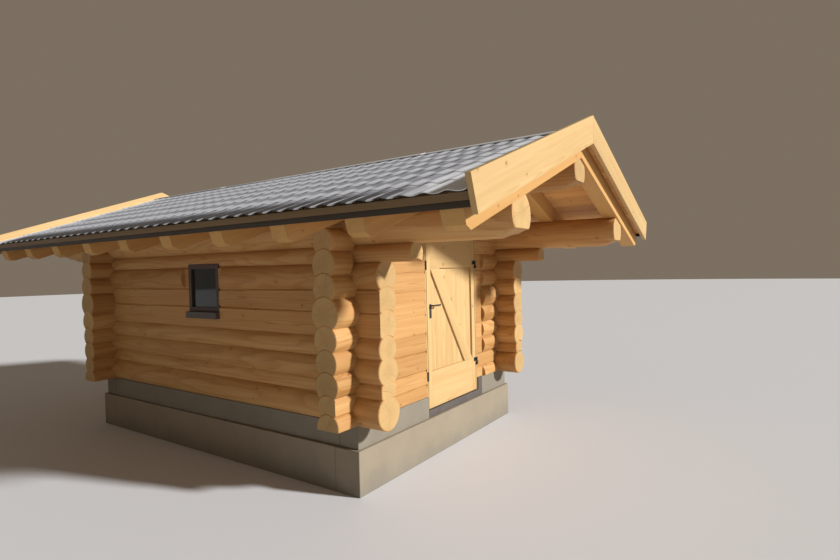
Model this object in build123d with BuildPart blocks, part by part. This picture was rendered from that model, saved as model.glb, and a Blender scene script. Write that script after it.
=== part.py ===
from build123d import *
import os
from math import cos, radians, sin, tan

os.makedirs("parts", exist_ok=True)

# A small round-log hut: saddle-notched log walls on a concrete plinth, a low gable roof that
# reaches far out over the door, one door in the front gable and a window in each long wall.
# Millimetres, +Z up, -Y to the front. The origin is on the ground under the middle of the roof.

# Driving dimensions
wall_half_width = 1375
wall_length = 4150
log_end_reach = 375
corbel_reach = 695
fit_gap = 0.4

footing_height = 400
footing_reach = 140
plinth_height = 220
plinth_reach = 110
floor_thickness = 75

side_sill_diameter = 300
side_sill_top = 260
side_rises = [140, 200, 185, 220, 199, 226]
corbel_rise = 140
gable_sill_diameter = 260
gable_sill_top = 150
gable_rises = [160, 195, 185, 200, 242, 198, 200, 170]
triangle_rises = [195, 190, 170, 130]
scribe_depth = 65

eave_log_diameter = 344
eave_log_seat = 27
ridge_log_diameter = 330
purlin_setback = 128
snout_length = 160
snout_height = 70

roof_pitch = 19.5
barge_reach = 2367
rafter_reach = 2210
sheet_reach = 2357
front_overhang = 1735
rafter_count = 10
rafter_spacing = 752
rafter_width = 160
rafter_depth = 185
rafter_seat = 53
tail_chamfer = 45
verge_gap = 71
board_thickness = 22
batten_width = 60
batten_thickness = 38
batten_count = 7
sheet_thickness = 12
wave_pitch = 162.5
wave_height = 14
cap_reach = 150
cap_thickness = 10
barge_thickness = 40
barge_depth = 240
barge_top = 351
eave_board_thickness = 27
eave_board_depth = 95

door_middle_x = 190
door_opening_width = 1055
door_leaf_height = 1870
door_face_reach = 92
hewn_left = 890
hewn_right = 150
threshold_turn = 90
door_gap = 8
door_thickness = 60
stile_width = 76
top_rail_height = 395
bottom_rail_height = 387
panel_recess = 22
panel_thickness = 28
brace_width = 184
jamb_width = 20
jamb_depth = 230
stop_width = 40
head_height = 60
handle_inset = 58
handle_height = 1090
handle_plate_width = 34
handle_plate_height = 150
handle_plate_thickness = 5
lever_length = 140
lever_diameter = 18
lever_stand = 45
keep_width = 16
keep_height = 95
keep_thickness = 12
keep_inset = 2
fitting_heights = [352, 1516]
hinge_pin_radius = 5
hinge_running_gap = 0.08
hinge_knuckle_radius = 10
hinge_knuckle_length = 45
hinge_axis_reach = 13
hinge_plate_width = 55
hinge_plate_thickness = 3

window_width = 545
window_bottom = 1470
window_top = 2060
window_face_reach = 100
window_hewn = 75
window_frame_width = 50
window_frame_depth = 70
glass_thickness = 24
sill_height = 70
sill_reach = 150

# Levels and places worked out from them
plinth_top = footing_height + plinth_height
floor_top = footing_height + floor_thickness
roof_length = (
    (rafter_count - 1) * rafter_spacing
    + rafter_width
    + 2 * (barge_thickness + verge_gap)
)
roof_front_y = -roof_length / 2
roof_back_y = roof_length / 2
front_axis_y = roof_front_y + front_overhang
back_axis_y = front_axis_y + wall_length
wall_middle_y = (front_axis_y + back_axis_y) / 2
slope = radians(roof_pitch)
eave_log_radius = eave_log_diameter / 2
side_wall_top = plinth_top + side_sill_top + sum(side_rises) + corbel_rise
eave_log_height = side_wall_top + eave_log_radius - eave_log_seat
ridge_log_radius = ridge_log_diameter / 2
apex_height = (
    eave_log_height
    + wall_half_width * tan(slope)
    + (eave_log_radius - rafter_seat) / cos(slope)
)
ridge_log_height = apex_height - (ridge_log_radius - rafter_seat) / cos(slope)
door_face_y = front_axis_y - door_face_reach
door_opening_top = floor_top + door_leaf_height + 2 * door_gap
window_face_x = -wall_half_width - window_face_reach
log_opening_half = door_opening_width / 2 + jamb_width
log_opening_top = door_opening_top + head_height
ridge_joint = fit_gap / 2


class Log:
    """A straight round log: its direction, where its axis crosses, its height, radius and ends."""

    def __init__(self, direction, across, height, radius, start, end):
        self.direction = direction
        self.across = across
        self.height = height
        self.radius = radius
        self.start = start
        self.end = end

    def rod(self, growth=0):
        """The plain round log, grown by a clearance all over."""
        low = self.start - growth
        if self.direction == "Y":
            plane = Plane(origin=(self.across, low, self.height), x_dir=(1, 0, 0), z_dir=(0, 1, 0))
        else:
            plane = Plane(origin=(low, self.across, self.height), x_dir=(0, 1, 0), z_dir=(1, 0, 0))
        with BuildPart() as rod:
            with BuildSketch(plane):
                Circle(self.radius + growth)
            extrude(amount=self.end + growth - low)
        return rod.part

    def meets(self, other):
        """Whether the two logs share space, before either is scribed."""
        if abs(self.height - other.height) >= self.radius + other.radius:
            return False
        if self.direction == other.direction:
            return abs(self.across - other.across) < self.radius
        return self.start <= other.across <= self.end and other.start <= self.across <= other.end


def scribed(log, laid):
    """The log with its long groove and its saddle notches cut over the logs laid before it."""
    body = log.rod()
    cutters = [other.rod(fit_gap) for other in laid if log.meets(other)]
    with BuildPart() as piece:
        add(body)
        if cutters:
            add(cutters, mode=Mode.SUBTRACT)
    return piece.part


def block(x, y, z):
    """A plain block between two corners, each pair in ascending order."""
    with BuildPart() as piece:
        with BuildSketch(Plane.XY.offset(z[0])):
            with Locations(((x[0] + x[1]) / 2, (y[0] + y[1]) / 2)):
                Rectangle(x[1] - x[0], y[1] - y[0])
        extrude(amount=z[1] - z[0])
    return piece.part


def cut(body, cutters):
    """The body less its cutters."""
    with BuildPart() as piece:
        add(body)
        add(cutters, mode=Mode.SUBTRACT)
    return piece.part


def mirrored(body):
    """The same piece on the other side of the ridge."""
    with BuildPart() as piece:
        add(body)
        mirror(about=Plane.YZ, mode=Mode.REPLACE)
    return piece.part


# The courses of logs, from the sills up
side_tops = [plinth_top + side_sill_top]
for rise in side_rises + [corbel_rise]:
    side_tops.append(side_tops[-1] + rise)
side_diameters = [side_sill_diameter] + [rise + scribe_depth for rise in side_rises + [corbel_rise]]

gable_tops = [plinth_top + gable_sill_top]
for rise in gable_rises + triangle_rises:
    gable_tops.append(gable_tops[-1] + rise)
gable_diameters = [gable_sill_diameter] + [rise + scribe_depth for rise in gable_rises + triangle_rises]


def side_log(index):
    """A log of the left wall. The last one is the corbel, which reaches further out."""
    reach = corbel_reach if index == len(side_rises) + 1 else log_end_reach
    radius = side_diameters[index] / 2
    return Log("Y", -wall_half_width, side_tops[index] - radius, radius,
               front_axis_y - reach, back_axis_y + reach)


def gable_log(index, axis_y):
    """A log of a gable wall. Those above the eave logs end between them."""
    half = wall_half_width + (log_end_reach if index <= len(gable_rises) else 0)
    radius = gable_diameters[index] / 2
    return Log("X", axis_y, gable_tops[index] - radius, radius, -half, half)


def moved_back(body):
    """The same piece on the back wall."""
    with BuildPart() as piece:
        with Locations((0, wall_length, 0)):
            add(body)
    return piece.part


def in_doorway(body):
    """A piece that is drawn about the ridge's plane, moved to the middle of the doorway."""
    with BuildPart() as piece:
        with Locations((door_middle_x, 0, 0)):
            add(body)
    return piece.part


side_logs = [side_log(index) for index in range(len(side_tops))]
gable_logs = [gable_log(index, front_axis_y) for index in range(len(gable_tops))]
cross_logs = gable_logs + [gable_log(index, back_axis_y) for index in range(len(gable_tops))]
eave_log = Log("Y", -wall_half_width, eave_log_height, eave_log_radius,
               roof_front_y + purlin_setback, roof_back_y - purlin_setback)
ridge_log = Log("Y", 0, ridge_log_height, ridge_log_radius,
                roof_front_y + purlin_setback, roof_back_y - purlin_setback)


def across_ridge(log):
    """The same log on the right of the ridge."""
    return Log("Y", -log.across, log.height, log.radius, log.start, log.end)


def laid_before(log, others):
    """The logs whose tops lie lower, which are in place when this one is laid."""
    top = log.height + log.radius
    return [other for other in others if other.height + other.radius < top]


walls_left = side_logs + [eave_log]
walls_both = walls_left + [across_ridge(log) for log in walls_left]
seat_cut = block((-wall_half_width * 2, 0), (front_axis_y - plinth_reach, back_axis_y + plinth_reach),
                 (0, plinth_top))
sill_cut = block((-wall_half_width * 2, wall_half_width * 2), (roof_front_y, roof_back_y), (0, plinth_top))
window_y = (wall_middle_y - window_width / 2 - fit_gap, wall_middle_y + window_width / 2 + fit_gap)
window_cut = block((-wall_half_width * 2, 0), window_y, (window_bottom, window_top + fit_gap))
# Round the window the logs are hewn flat, flush with its frame
hewn_window_cut = block((-wall_half_width * 2, window_face_x),
                        (window_y[0] - window_hewn, window_y[1] + window_hewn),
                        (window_bottom - window_hewn, window_top + window_hewn))
door_cut = in_doorway(block((-log_opening_half - fit_gap, log_opening_half + fit_gap),
                            (roof_front_y, front_axis_y + jamb_depth), (0, log_opening_top + fit_gap)))
# Beside the door the logs are hewn flat, flush with its frame
hewn_cut = in_doorway(block((-log_opening_half - hewn_left, log_opening_half + hewn_right),
                            (roof_front_y, door_face_y), (0, log_opening_top + fit_gap)))

left_pieces = []
for index, log in enumerate(side_logs):
    piece = scribed(log, laid_before(log, side_logs + cross_logs))
    if index == 0:
        piece = cut(piece, [seat_cut])
    if log.height + log.radius > window_bottom:
        piece = cut(piece, [window_cut])
        if index <= len(side_rises):
            piece = cut(piece, [hewn_window_cut])
    left_pieces.append(piece)

roof_plane = Plane(origin=(0, roof_front_y, apex_height),
                   x_dir=(cos(slope), 0, -sin(slope)), z_dir=(0, -1, 0))
with BuildPart() as right_roof_space:
    with BuildSketch(roof_plane):
        with BuildLine():
            Polyline((0, 0), (2 * barge_reach, 0), (2 * barge_reach, barge_reach),
                     (-barge_reach * tan(slope), barge_reach), close=True)
        make_face()
    extrude(amount=-roof_length)
roof_space = [right_roof_space.part, mirrored(right_roof_space.part)]

# Both gables are alike but for the door, so each gable log is scribed once. One log lies over the doorway
front_pieces = []
back_pieces = []
lintel_pieces = []
triangle_front_pieces = []
triangle_back_pieces = []
for index, log in enumerate(gable_logs):
    laid = laid_before(log, walls_both + gable_logs)
    if log.height > ridge_log.height - ridge_log.radius:
        laid.append(ridge_log)
    piece = scribed(log, laid)
    if index == 0:
        piece = cut(piece, [sill_cut])
    if index > len(gable_rises):
        piece = cut(piece, roof_space)
    back_piece = moved_back(piece)
    if log.height - log.radius < log_opening_top:
        piece = cut(piece, [door_cut])
    if index <= len(gable_rises):
        piece = cut(piece, [hewn_cut])
        front_pieces.append(piece)
        back_pieces.append(back_piece)
        continue
    triangle_back_pieces.append(back_piece)
    if log.height - log.radius < log_opening_top:
        lintel_pieces.append(piece)
    else:
        triangle_front_pieces.append(piece)


def snout_cuts(log):
    """The wedges that slope the underside up to each end of a roof log."""
    bottom = log.height - log.radius
    wedges = []
    for tip, inward in ((log.start, 1), (log.end, -1)):
        with BuildPart() as wedge:
            with BuildSketch(Plane.YZ.offset(log.across - log.radius)):
                with BuildLine():
                    Polyline((tip, bottom - fit_gap), (tip, bottom + snout_height),
                             (tip + inward * snout_length, bottom - fit_gap), close=True)
                make_face()
            extrude(amount=2 * log.radius)
        wedges.append(wedge.part)
    return wedges


eave_piece = cut(scribed(eave_log, laid_before(eave_log, side_logs + cross_logs)), snout_cuts(eave_log))
laid_under_ridge = [log for log in cross_logs if log.height < ridge_log_height - ridge_log_radius]
ridge_piece = cut(scribed(ridge_log, laid_under_ridge), snout_cuts(ridge_log))


def roof_strip(low, high, end, start_y, length):
    """A flat layer of the right slope, plumb-cut at the ridge and square at the eave."""
    with BuildPart() as strip:
        with BuildSketch(roof_plane.offset(roof_front_y - start_y)):
            with BuildLine():
                Polyline(
                    (ridge_joint / cos(slope) - low * tan(slope), low),
                    (ridge_joint / cos(slope) - high * tan(slope), high),
                    (end, high),
                    (end, low),
                    close=True,
                )
            make_face()
        extrude(amount=-length)
    return strip.part


tail_run = rafter_reach / cos(slope)
board_top = rafter_depth + board_thickness
batten_top = board_top + batten_thickness
sheet_top = batten_top + sheet_thickness + wave_height
barge_run = (barge_reach - barge_top * sin(slope)) / cos(slope)
sheet_run = (sheet_reach - sheet_top * sin(slope)) / cos(slope)
inner_front_y = roof_front_y + barge_thickness
inner_length = roof_length - 2 * barge_thickness

log_rods = [across_ridge(eave_log).rod(fit_gap), ridge_log.rod(fit_gap)]
# Each rafter's tail has its lower corner sawn off
with BuildPart() as tail_corner:
    with BuildSketch(roof_plane):
        with BuildLine():
            Polyline((tail_run - 2 * tail_chamfer, -tail_chamfer),
                     (tail_run + tail_chamfer, 2 * tail_chamfer),
                     (tail_run + tail_chamfer, -tail_chamfer), close=True)
        make_face()
    extrude(amount=-roof_length)

right_rafter_pieces = []
for number in range(rafter_count):
    start_y = inner_front_y + verge_gap + number * rafter_spacing
    rafter = roof_strip(0, rafter_depth - fit_gap, tail_run, start_y, rafter_width)
    right_rafter_pieces.append(cut(rafter, log_rods + [tail_corner.part]))

right_batten_pieces = []
batten_step = (tail_run - cap_reach) / (batten_count - 1)
for number in range(batten_count):
    middle = cap_reach / 2 + number * batten_step
    with BuildPart() as batten:
        with BuildSketch(roof_plane.offset(-barge_thickness)):
            with Locations((middle, board_top + batten_thickness / 2)):
                Rectangle(batten_width, batten_thickness - fit_gap)
        extrude(amount=-inner_length)
    right_batten_pieces.append(batten.part)

# The covering sheet is drawn on the eave's end, wave by wave, and run up to the ridge
sheet_plane = Plane(
    origin=(sheet_run * cos(slope), 0, apex_height - sheet_run * sin(slope)),
    x_dir=(0, 1, 0),
    z_dir=(cos(slope), 0, -sin(slope)),
)
wave_count = int(inner_length / wave_pitch)
sheet_half = inner_length / 2 - fit_gap
wave_half = wave_count * wave_pitch / 2
low_line = batten_top + sheet_thickness
middle_line = low_line + wave_height / 2
with BuildPart() as right_sheet:
    with BuildSketch(sheet_plane):
        with BuildLine():
            for number in range(2 * wave_count):
                start = -wave_half + number * wave_pitch / 2
                swing = wave_height / 2 if number % 2 else -wave_height / 2
                ThreePointArc(
                    (start, middle_line),
                    (start + wave_pitch / 4, middle_line + swing),
                    (start + wave_pitch / 2, middle_line),
                )
            Polyline(
                (wave_half, middle_line),
                (sheet_half, middle_line),
                (sheet_half, batten_top),
                (-sheet_half, batten_top),
                (-sheet_half, middle_line),
                (-wave_half, middle_line),
            )
        make_face()
    extrude(amount=-sheet_run * 1.1)
    split(bisect_by=Plane.YZ.offset(ridge_joint), keep=Keep.TOP)


# Footing, plinth and floor
footing_x = wall_half_width + footing_reach
footing_inner_x = wall_half_width - footing_reach
footing_front_y = (front_axis_y - footing_reach, front_axis_y + footing_reach)
footing_back_y = (back_axis_y - footing_reach, back_axis_y + footing_reach)
footing_front = block((-footing_x, footing_x), footing_front_y, (0, footing_height))
footing_back = block((-footing_x, footing_x), footing_back_y, (0, footing_height))
with BuildPart() as footing_ends:
    add([footing_front, footing_back])
footing_ends.part.label = "footing_ends"
export_step(footing_ends.part, "parts/footing_ends.step")

footing_side = block((footing_inner_x, footing_x), (footing_front_y[1], footing_back_y[0]),
                     (0, footing_height))
footing_other = mirrored(footing_side)
with BuildPart() as footing_sides:
    add([footing_side, footing_other])
footing_sides.part.label = "footing_sides"
export_step(footing_sides.part, "parts/footing_sides.step")

plinth_x = wall_half_width + plinth_reach
plinth_inner_x = wall_half_width - plinth_reach
plinth_front_y = (front_axis_y - plinth_reach, front_axis_y + plinth_reach)
plinth_back_y = (back_axis_y - plinth_reach, back_axis_y + plinth_reach)
plinth_z = (footing_height, plinth_top)
threshold_x = (-log_opening_half, log_opening_half + threshold_turn)
plinth_front_left = block((-plinth_x, door_middle_x + threshold_x[0]), plinth_front_y, plinth_z)
plinth_front_right = block((door_middle_x + threshold_x[1], plinth_x), plinth_front_y, plinth_z)
with BuildPart() as plinth_front:
    add([plinth_front_left, plinth_front_right])
plinth_front.part.label = "plinth_front"
export_step(plinth_front.part, "parts/plinth_front.step")

plinth_back_piece = block((-plinth_x, plinth_x), plinth_back_y, plinth_z)
with BuildPart() as plinth_back:
    add(plinth_back_piece)
plinth_back.part.label = "plinth_back"
export_step(plinth_back.part, "parts/plinth_back.step")

plinth_side = block((plinth_inner_x, plinth_x), (plinth_front_y[1], plinth_back_y[0]), plinth_z)
plinth_other = mirrored(plinth_side)
with BuildPart() as plinth_sides:
    add([plinth_side, plinth_other])
plinth_sides.part.label = "plinth_sides"
export_step(plinth_sides.part, "parts/plinth_sides.step")

floor_piece = block((-plinth_inner_x, plinth_inner_x), (plinth_front_y[1], plinth_back_y[0]),
                    (footing_height, floor_top))
with BuildPart() as floor_slab:
    add(floor_piece)
floor_slab.part.label = "floor_slab"
export_step(floor_slab.part, "parts/floor_slab.step")

# The dark threshold lies under the door and turns up on its right, beside the plinth
threshold_band = block((threshold_x[0], threshold_x[1]), plinth_front_y, (footing_height, floor_top))
threshold_end = block((log_opening_half, threshold_x[1]), plinth_front_y, plinth_z)
threshold_piece = in_doorway([threshold_band, threshold_end])
with BuildPart() as door_threshold:
    add(threshold_piece)
door_threshold.part.label = "door_threshold"
export_step(door_threshold.part, "parts/door_threshold.step")

# Log walls
with BuildPart() as left_wall_logs:
    add(left_pieces)
left_wall_logs.part.label = "left_wall_logs"
export_step(left_wall_logs.part, "parts/left_wall_logs.step")

right_pieces = [mirrored(piece) for piece in left_pieces]
with BuildPart() as right_wall_logs:
    add(right_pieces)
right_wall_logs.part.label = "right_wall_logs"
export_step(right_wall_logs.part, "parts/right_wall_logs.step")

with BuildPart() as front_wall_logs:
    add(front_pieces)
front_wall_logs.part.label = "front_wall_logs"
export_step(front_wall_logs.part, "parts/front_wall_logs.step")

with BuildPart() as back_wall_logs:
    add(back_pieces)
back_wall_logs.part.label = "back_wall_logs"
export_step(back_wall_logs.part, "parts/back_wall_logs.step")

with BuildPart() as door_lintel_log:
    add(lintel_pieces)
door_lintel_log.part.label = "door_lintel_log"
export_step(door_lintel_log.part, "parts/door_lintel_log.step")

with BuildPart() as front_gable_logs:
    add(triangle_front_pieces)
front_gable_logs.part.label = "front_gable_logs"
export_step(front_gable_logs.part, "parts/front_gable_logs.step")

with BuildPart() as back_gable_logs:
    add(triangle_back_pieces)
back_gable_logs.part.label = "back_gable_logs"
export_step(back_gable_logs.part, "parts/back_gable_logs.step")

# Roof logs
with BuildPart() as left_eave_log:
    add(eave_piece)
left_eave_log.part.label = "left_eave_log"
export_step(left_eave_log.part, "parts/left_eave_log.step")

right_eave_piece = mirrored(eave_piece)
with BuildPart() as right_eave_log:
    add(right_eave_piece)
right_eave_log.part.label = "right_eave_log"
export_step(right_eave_log.part, "parts/right_eave_log.step")

with BuildPart() as ridge_log_part:
    add(ridge_piece)
ridge_log_part.part.label = "ridge_log"
export_step(ridge_log_part.part, "parts/ridge_log.step")

# Rafters, boarding, battens and covering
left_rafter_pieces = [mirrored(piece) for piece in right_rafter_pieces]
with BuildPart() as left_rafters:
    add(left_rafter_pieces)
left_rafters.part.label = "left_rafters"
export_step(left_rafters.part, "parts/left_rafters.step")

with BuildPart() as right_rafters:
    add(right_rafter_pieces)
right_rafters.part.label = "right_rafters"
export_step(right_rafters.part, "parts/right_rafters.step")

right_board_piece = roof_strip(rafter_depth, board_top, tail_run, inner_front_y, inner_length)
left_board_piece = mirrored(right_board_piece)
with BuildPart() as left_roof_boards:
    add(left_board_piece)
left_roof_boards.part.label = "left_roof_boards"
export_step(left_roof_boards.part, "parts/left_roof_boards.step")

with BuildPart() as right_roof_boards:
    add(right_board_piece)
right_roof_boards.part.label = "right_roof_boards"
export_step(right_roof_boards.part, "parts/right_roof_boards.step")

left_batten_pieces = [mirrored(piece) for piece in right_batten_pieces]
with BuildPart() as roof_battens:
    add(left_batten_pieces + right_batten_pieces)
roof_battens.part.label = "roof_battens"
export_step(roof_battens.part, "parts/roof_battens.step")

left_sheet_piece = mirrored(right_sheet.part)
with BuildPart() as left_roof_sheet:
    add(left_sheet_piece)
left_roof_sheet.part.label = "left_roof_sheet"
export_step(left_roof_sheet.part, "parts/left_roof_sheet.step")

with BuildPart() as right_roof_sheet:
    add(right_sheet.part)
right_roof_sheet.part.label = "right_roof_sheet"
export_step(right_roof_sheet.part, "parts/right_roof_sheet.step")

with BuildPart() as ridge_cap:
    with BuildSketch(roof_plane.offset(-barge_thickness - fit_gap)):
        with BuildLine():
            Polyline(
                (-sheet_top * tan(slope), sheet_top),
                (-(sheet_top + cap_thickness) * tan(slope), sheet_top + cap_thickness),
                (cap_reach, sheet_top + cap_thickness),
                (cap_reach, sheet_top),
                close=True,
            )
        make_face()
    extrude(amount=-(inner_length - 2 * fit_gap))
    mirror(about=Plane.YZ)
ridge_cap.part.label = "ridge_cap"
export_step(ridge_cap.part, "parts/ridge_cap.step")

# Barge boards on both gables and the boards on the rafter tails
barge_low = barge_top - barge_depth
right_front_barge = roof_strip(barge_low, barge_top, barge_run, roof_front_y, barge_thickness - fit_gap)
left_front_barge = mirrored(right_front_barge)
with BuildPart() as front_barge_boards:
    add([right_front_barge, left_front_barge])
front_barge_boards.part.label = "front_barge_boards"
export_step(front_barge_boards.part, "parts/front_barge_boards.step")

right_back_barge = roof_strip(barge_low, barge_top, barge_run, roof_back_y - barge_thickness + fit_gap,
                              barge_thickness - fit_gap)
left_back_barge = mirrored(right_back_barge)
with BuildPart() as back_barge_boards:
    add([right_back_barge, left_back_barge])
back_barge_boards.part.label = "back_barge_boards"
export_step(back_barge_boards.part, "parts/back_barge_boards.step")

with BuildPart() as right_eave_board:
    with BuildSketch(roof_plane.offset(-barge_thickness - fit_gap)):
        with Locations((tail_run + fit_gap + eave_board_thickness / 2,
                        batten_top - fit_gap - eave_board_depth / 2)):
            Rectangle(eave_board_thickness, eave_board_depth)
    extrude(amount=-(inner_length - 2 * fit_gap))
left_eave_board = mirrored(right_eave_board.part)
with BuildPart() as eave_boards:
    add([left_eave_board, right_eave_board.part])
eave_boards.part.label = "eave_boards"
export_step(eave_boards.part, "parts/eave_boards.step")

# Door frame
opening_half = door_opening_width / 2
stop_start_y = door_face_y + door_thickness + door_gap
jamb_back_y = door_face_y + jamb_depth
post = block((opening_half, log_opening_half), (door_face_y, jamb_back_y), (floor_top, log_opening_top))
stop = block((opening_half - stop_width, opening_half), (stop_start_y, jamb_back_y),
             (floor_top, door_opening_top))
with BuildPart() as right_jamb:
    add([post, stop])
left_jamb = mirrored(right_jamb.part)
with BuildPart() as door_jambs:
    add(in_doorway([left_jamb, right_jamb.part]))
door_jambs.part.label = "door_jambs"
export_step(door_jambs.part, "parts/door_jambs.step")

head_x = (-opening_half + fit_gap, opening_half - fit_gap)
stop_x = (-opening_half + stop_width + fit_gap, opening_half - stop_width - fit_gap)
head_board = block(head_x, (door_face_y, jamb_back_y), (door_opening_top, log_opening_top))
top_stop = block(stop_x, (stop_start_y, jamb_back_y), (door_opening_top - stop_width, door_opening_top))
with BuildPart() as door_head:
    add(in_doorway([head_board, top_stop]))
door_head.part.label = "door_head"
export_step(door_head.part, "parts/door_head.step")

# Door leaf
leaf_half = opening_half - door_gap
leaf_bottom = floor_top + door_gap
leaf_top = leaf_bottom + door_leaf_height
leaf_y = (door_face_y, door_face_y + door_thickness)
panel_half = leaf_half - stile_width
panel_bottom = leaf_bottom + bottom_rail_height
panel_top = leaf_top - top_rail_height
stile = block((panel_half, leaf_half), leaf_y, (leaf_bottom, leaf_top))
stile_other = mirrored(stile)
with BuildPart() as door_stiles:
    add(in_doorway([stile_other, stile]))
door_stiles.part.label = "door_stiles"
export_step(door_stiles.part, "parts/door_stiles.step")

rail_x = (-panel_half + fit_gap, panel_half - fit_gap)
bottom_rail = block(rail_x, leaf_y, (leaf_bottom, panel_bottom))
top_rail = block(rail_x, leaf_y, (panel_top, leaf_top))
with BuildPart() as door_rails:
    add(in_doorway([bottom_rail, top_rail]))
door_rails.part.label = "door_rails"
export_step(door_rails.part, "parts/door_rails.step")

panel_face_y = door_face_y + panel_recess
panel_piece = block(rail_x, (panel_face_y, panel_face_y + panel_thickness),
                    (panel_bottom + fit_gap, panel_top - fit_gap))
with BuildPart() as door_panel:
    add(in_doorway(panel_piece))
door_panel.part.label = "door_panel"
export_step(door_panel.part, "parts/door_panel.step")

# The brace runs from the panel's top left corner to its bottom right one
brace_left = -panel_half + fit_gap
brace_right = panel_half - fit_gap
brace_top = panel_top - fit_gap
brace_bottom = panel_bottom + fit_gap
with BuildPart() as brace_piece:
    with BuildSketch(Plane(origin=(0, panel_face_y - fit_gap, 0), x_dir=(1, 0, 0), z_dir=(0, -1, 0))):
        with BuildLine():
            Polyline((brace_left, brace_top), (brace_left + brace_width, brace_top),
                     (brace_right, brace_bottom), (brace_right - brace_width, brace_bottom), close=True)
        make_face()
    extrude(amount=panel_recess - fit_gap)
with BuildPart() as door_brace:
    add(in_doorway(brace_piece.part))
door_brace.part.label = "door_brace"
export_step(door_brace.part, "parts/door_brace.step")

# Handle on the left stile: a long plate and a lever that points to the hinges
handle_x = -leaf_half + handle_inset
handle_z = floor_top + handle_height
with BuildPart() as handle_piece:
    with BuildSketch(Plane(origin=(handle_x, door_face_y, handle_z), x_dir=(1, 0, 0), z_dir=(0, -1, 0))):
        with Locations((0, handle_plate_width / 2 - handle_plate_height / 2)):
            RectangleRounded(handle_plate_width, handle_plate_height, handle_plate_width / 3)
    extrude(amount=handle_plate_thickness)
    with BuildSketch(Plane(origin=(handle_x, door_face_y, handle_z), x_dir=(1, 0, 0), z_dir=(0, -1, 0))):
        Circle(lever_diameter / 2)
    extrude(amount=lever_stand)
    with BuildSketch(Plane(origin=(handle_x - lever_diameter / 2, door_face_y - lever_stand, handle_z),
                           x_dir=(0, 1, 0), z_dir=(1, 0, 0))):
        Circle(lever_diameter / 2)
    extrude(amount=lever_length)
with BuildPart() as door_handle:
    add(in_doorway(handle_piece.part))
door_handle.part.label = "door_handle"
export_step(door_handle.part, "parts/door_handle.step")

# Keeps on the left jamb
keep_pieces = []
for height in fitting_heights:
    keep_x = (-opening_half - keep_inset - keep_width, -opening_half - keep_inset)
    keep_z = (floor_top + height - keep_height / 2, floor_top + height + keep_height / 2)
    keep_pieces.append(block(keep_x, (door_face_y - keep_thickness, door_face_y), keep_z))
with BuildPart() as door_keeps:
    add(in_doorway(keep_pieces))
door_keeps.part.label = "door_keeps"
export_step(door_keeps.part, "parts/door_keeps.step")

# Hinges on the right: the frame's knuckle holds the pin, the leaf's knuckle turns on it
hinge_x = opening_half
hinge_y = door_face_y - hinge_axis_reach
frame_hinge_pieces = []
leaf_hinge_pieces = []
for height in fitting_heights:
    seat_z = floor_top + height
    plate_y = (door_face_y - hinge_plate_thickness, door_face_y)
    frame_plate = block((hinge_x + door_gap / 2, hinge_x + hinge_plate_width), plate_y,
                        (seat_z - hinge_knuckle_length, seat_z - door_gap))
    frame_web = block((hinge_x + door_gap / 2, hinge_x + hinge_knuckle_radius), (hinge_y, door_face_y),
                      (seat_z - hinge_knuckle_length, seat_z - door_gap))
    leaf_plate = block((hinge_x - hinge_plate_width, hinge_x - door_gap), plate_y,
                       (seat_z, seat_z + hinge_knuckle_length))
    leaf_web = block((hinge_x - hinge_knuckle_radius, hinge_x - door_gap), (hinge_y, door_face_y),
                     (seat_z, seat_z + hinge_knuckle_length))
    with BuildPart() as frame_hinge:
        add([frame_plate, frame_web])
        with BuildSketch(Plane.XY.offset(seat_z - hinge_knuckle_length)):
            with Locations((hinge_x, hinge_y)):
                Circle(hinge_knuckle_radius)
        extrude(amount=hinge_knuckle_length - door_gap)
        with BuildSketch(Plane.XY.offset(seat_z - door_gap)):
            with Locations((hinge_x, hinge_y)):
                Circle(hinge_pin_radius)
        extrude(amount=hinge_knuckle_length)
    frame_hinge_pieces.append(frame_hinge.part)
    with BuildPart() as leaf_hinge:
        add([leaf_plate, leaf_web])
        with BuildSketch(Plane.XY.offset(seat_z)):
            with Locations((hinge_x, hinge_y)):
                Circle(hinge_knuckle_radius)
        extrude(amount=hinge_knuckle_length)
        with BuildSketch(Plane.XY.offset(seat_z)):
            with Locations((hinge_x, hinge_y)):
                Circle(hinge_pin_radius + hinge_running_gap)
        extrude(amount=hinge_knuckle_length, mode=Mode.SUBTRACT)
    leaf_hinge_pieces.append(leaf_hinge.part)
with BuildPart() as frame_hinges:
    add(in_doorway(frame_hinge_pieces))
frame_hinges.part.label = "frame_hinges"
export_step(frame_hinges.part, "parts/frame_hinges.step")

with BuildPart() as leaf_hinges:
    add(in_doorway(leaf_hinge_pieces))
leaf_hinges.part.label = "leaf_hinges"
export_step(leaf_hinges.part, "parts/leaf_hinges.step")

# Windows: a frame with one pane, and a sill below it
frame_x = (window_face_x, window_face_x + window_frame_depth)
frame_y = (wall_middle_y - window_width / 2, wall_middle_y + window_width / 2)
frame_z = (window_bottom + sill_height, window_top)
pane_y = (frame_y[0] + window_frame_width, frame_y[1] - window_frame_width)
pane_z = (frame_z[0] + window_frame_width, frame_z[1] - window_frame_width)
frame_block = block(frame_x, frame_y, frame_z)
light_block = block(frame_x, pane_y, pane_z)
frame_left = cut(frame_block, [light_block])
frame_right = mirrored(frame_left)
with BuildPart() as left_window_frame:
    add(frame_left)
left_window_frame.part.label = "left_window_frame"
export_step(left_window_frame.part, "parts/left_window_frame.step")

with BuildPart() as right_window_frame:
    add(frame_right)
right_window_frame.part.label = "right_window_frame"
export_step(right_window_frame.part, "parts/right_window_frame.step")

glass_middle_x = (frame_x[0] + frame_x[1]) / 2
glass_x = (glass_middle_x - glass_thickness / 2, glass_middle_x + glass_thickness / 2)
glass_left = block(glass_x, pane_y, pane_z)
glass_right = mirrored(glass_left)
with BuildPart() as left_window_glass:
    add(glass_left)
left_window_glass.part.label = "left_window_glass"
export_step(left_window_glass.part, "parts/left_window_glass.step")

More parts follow.
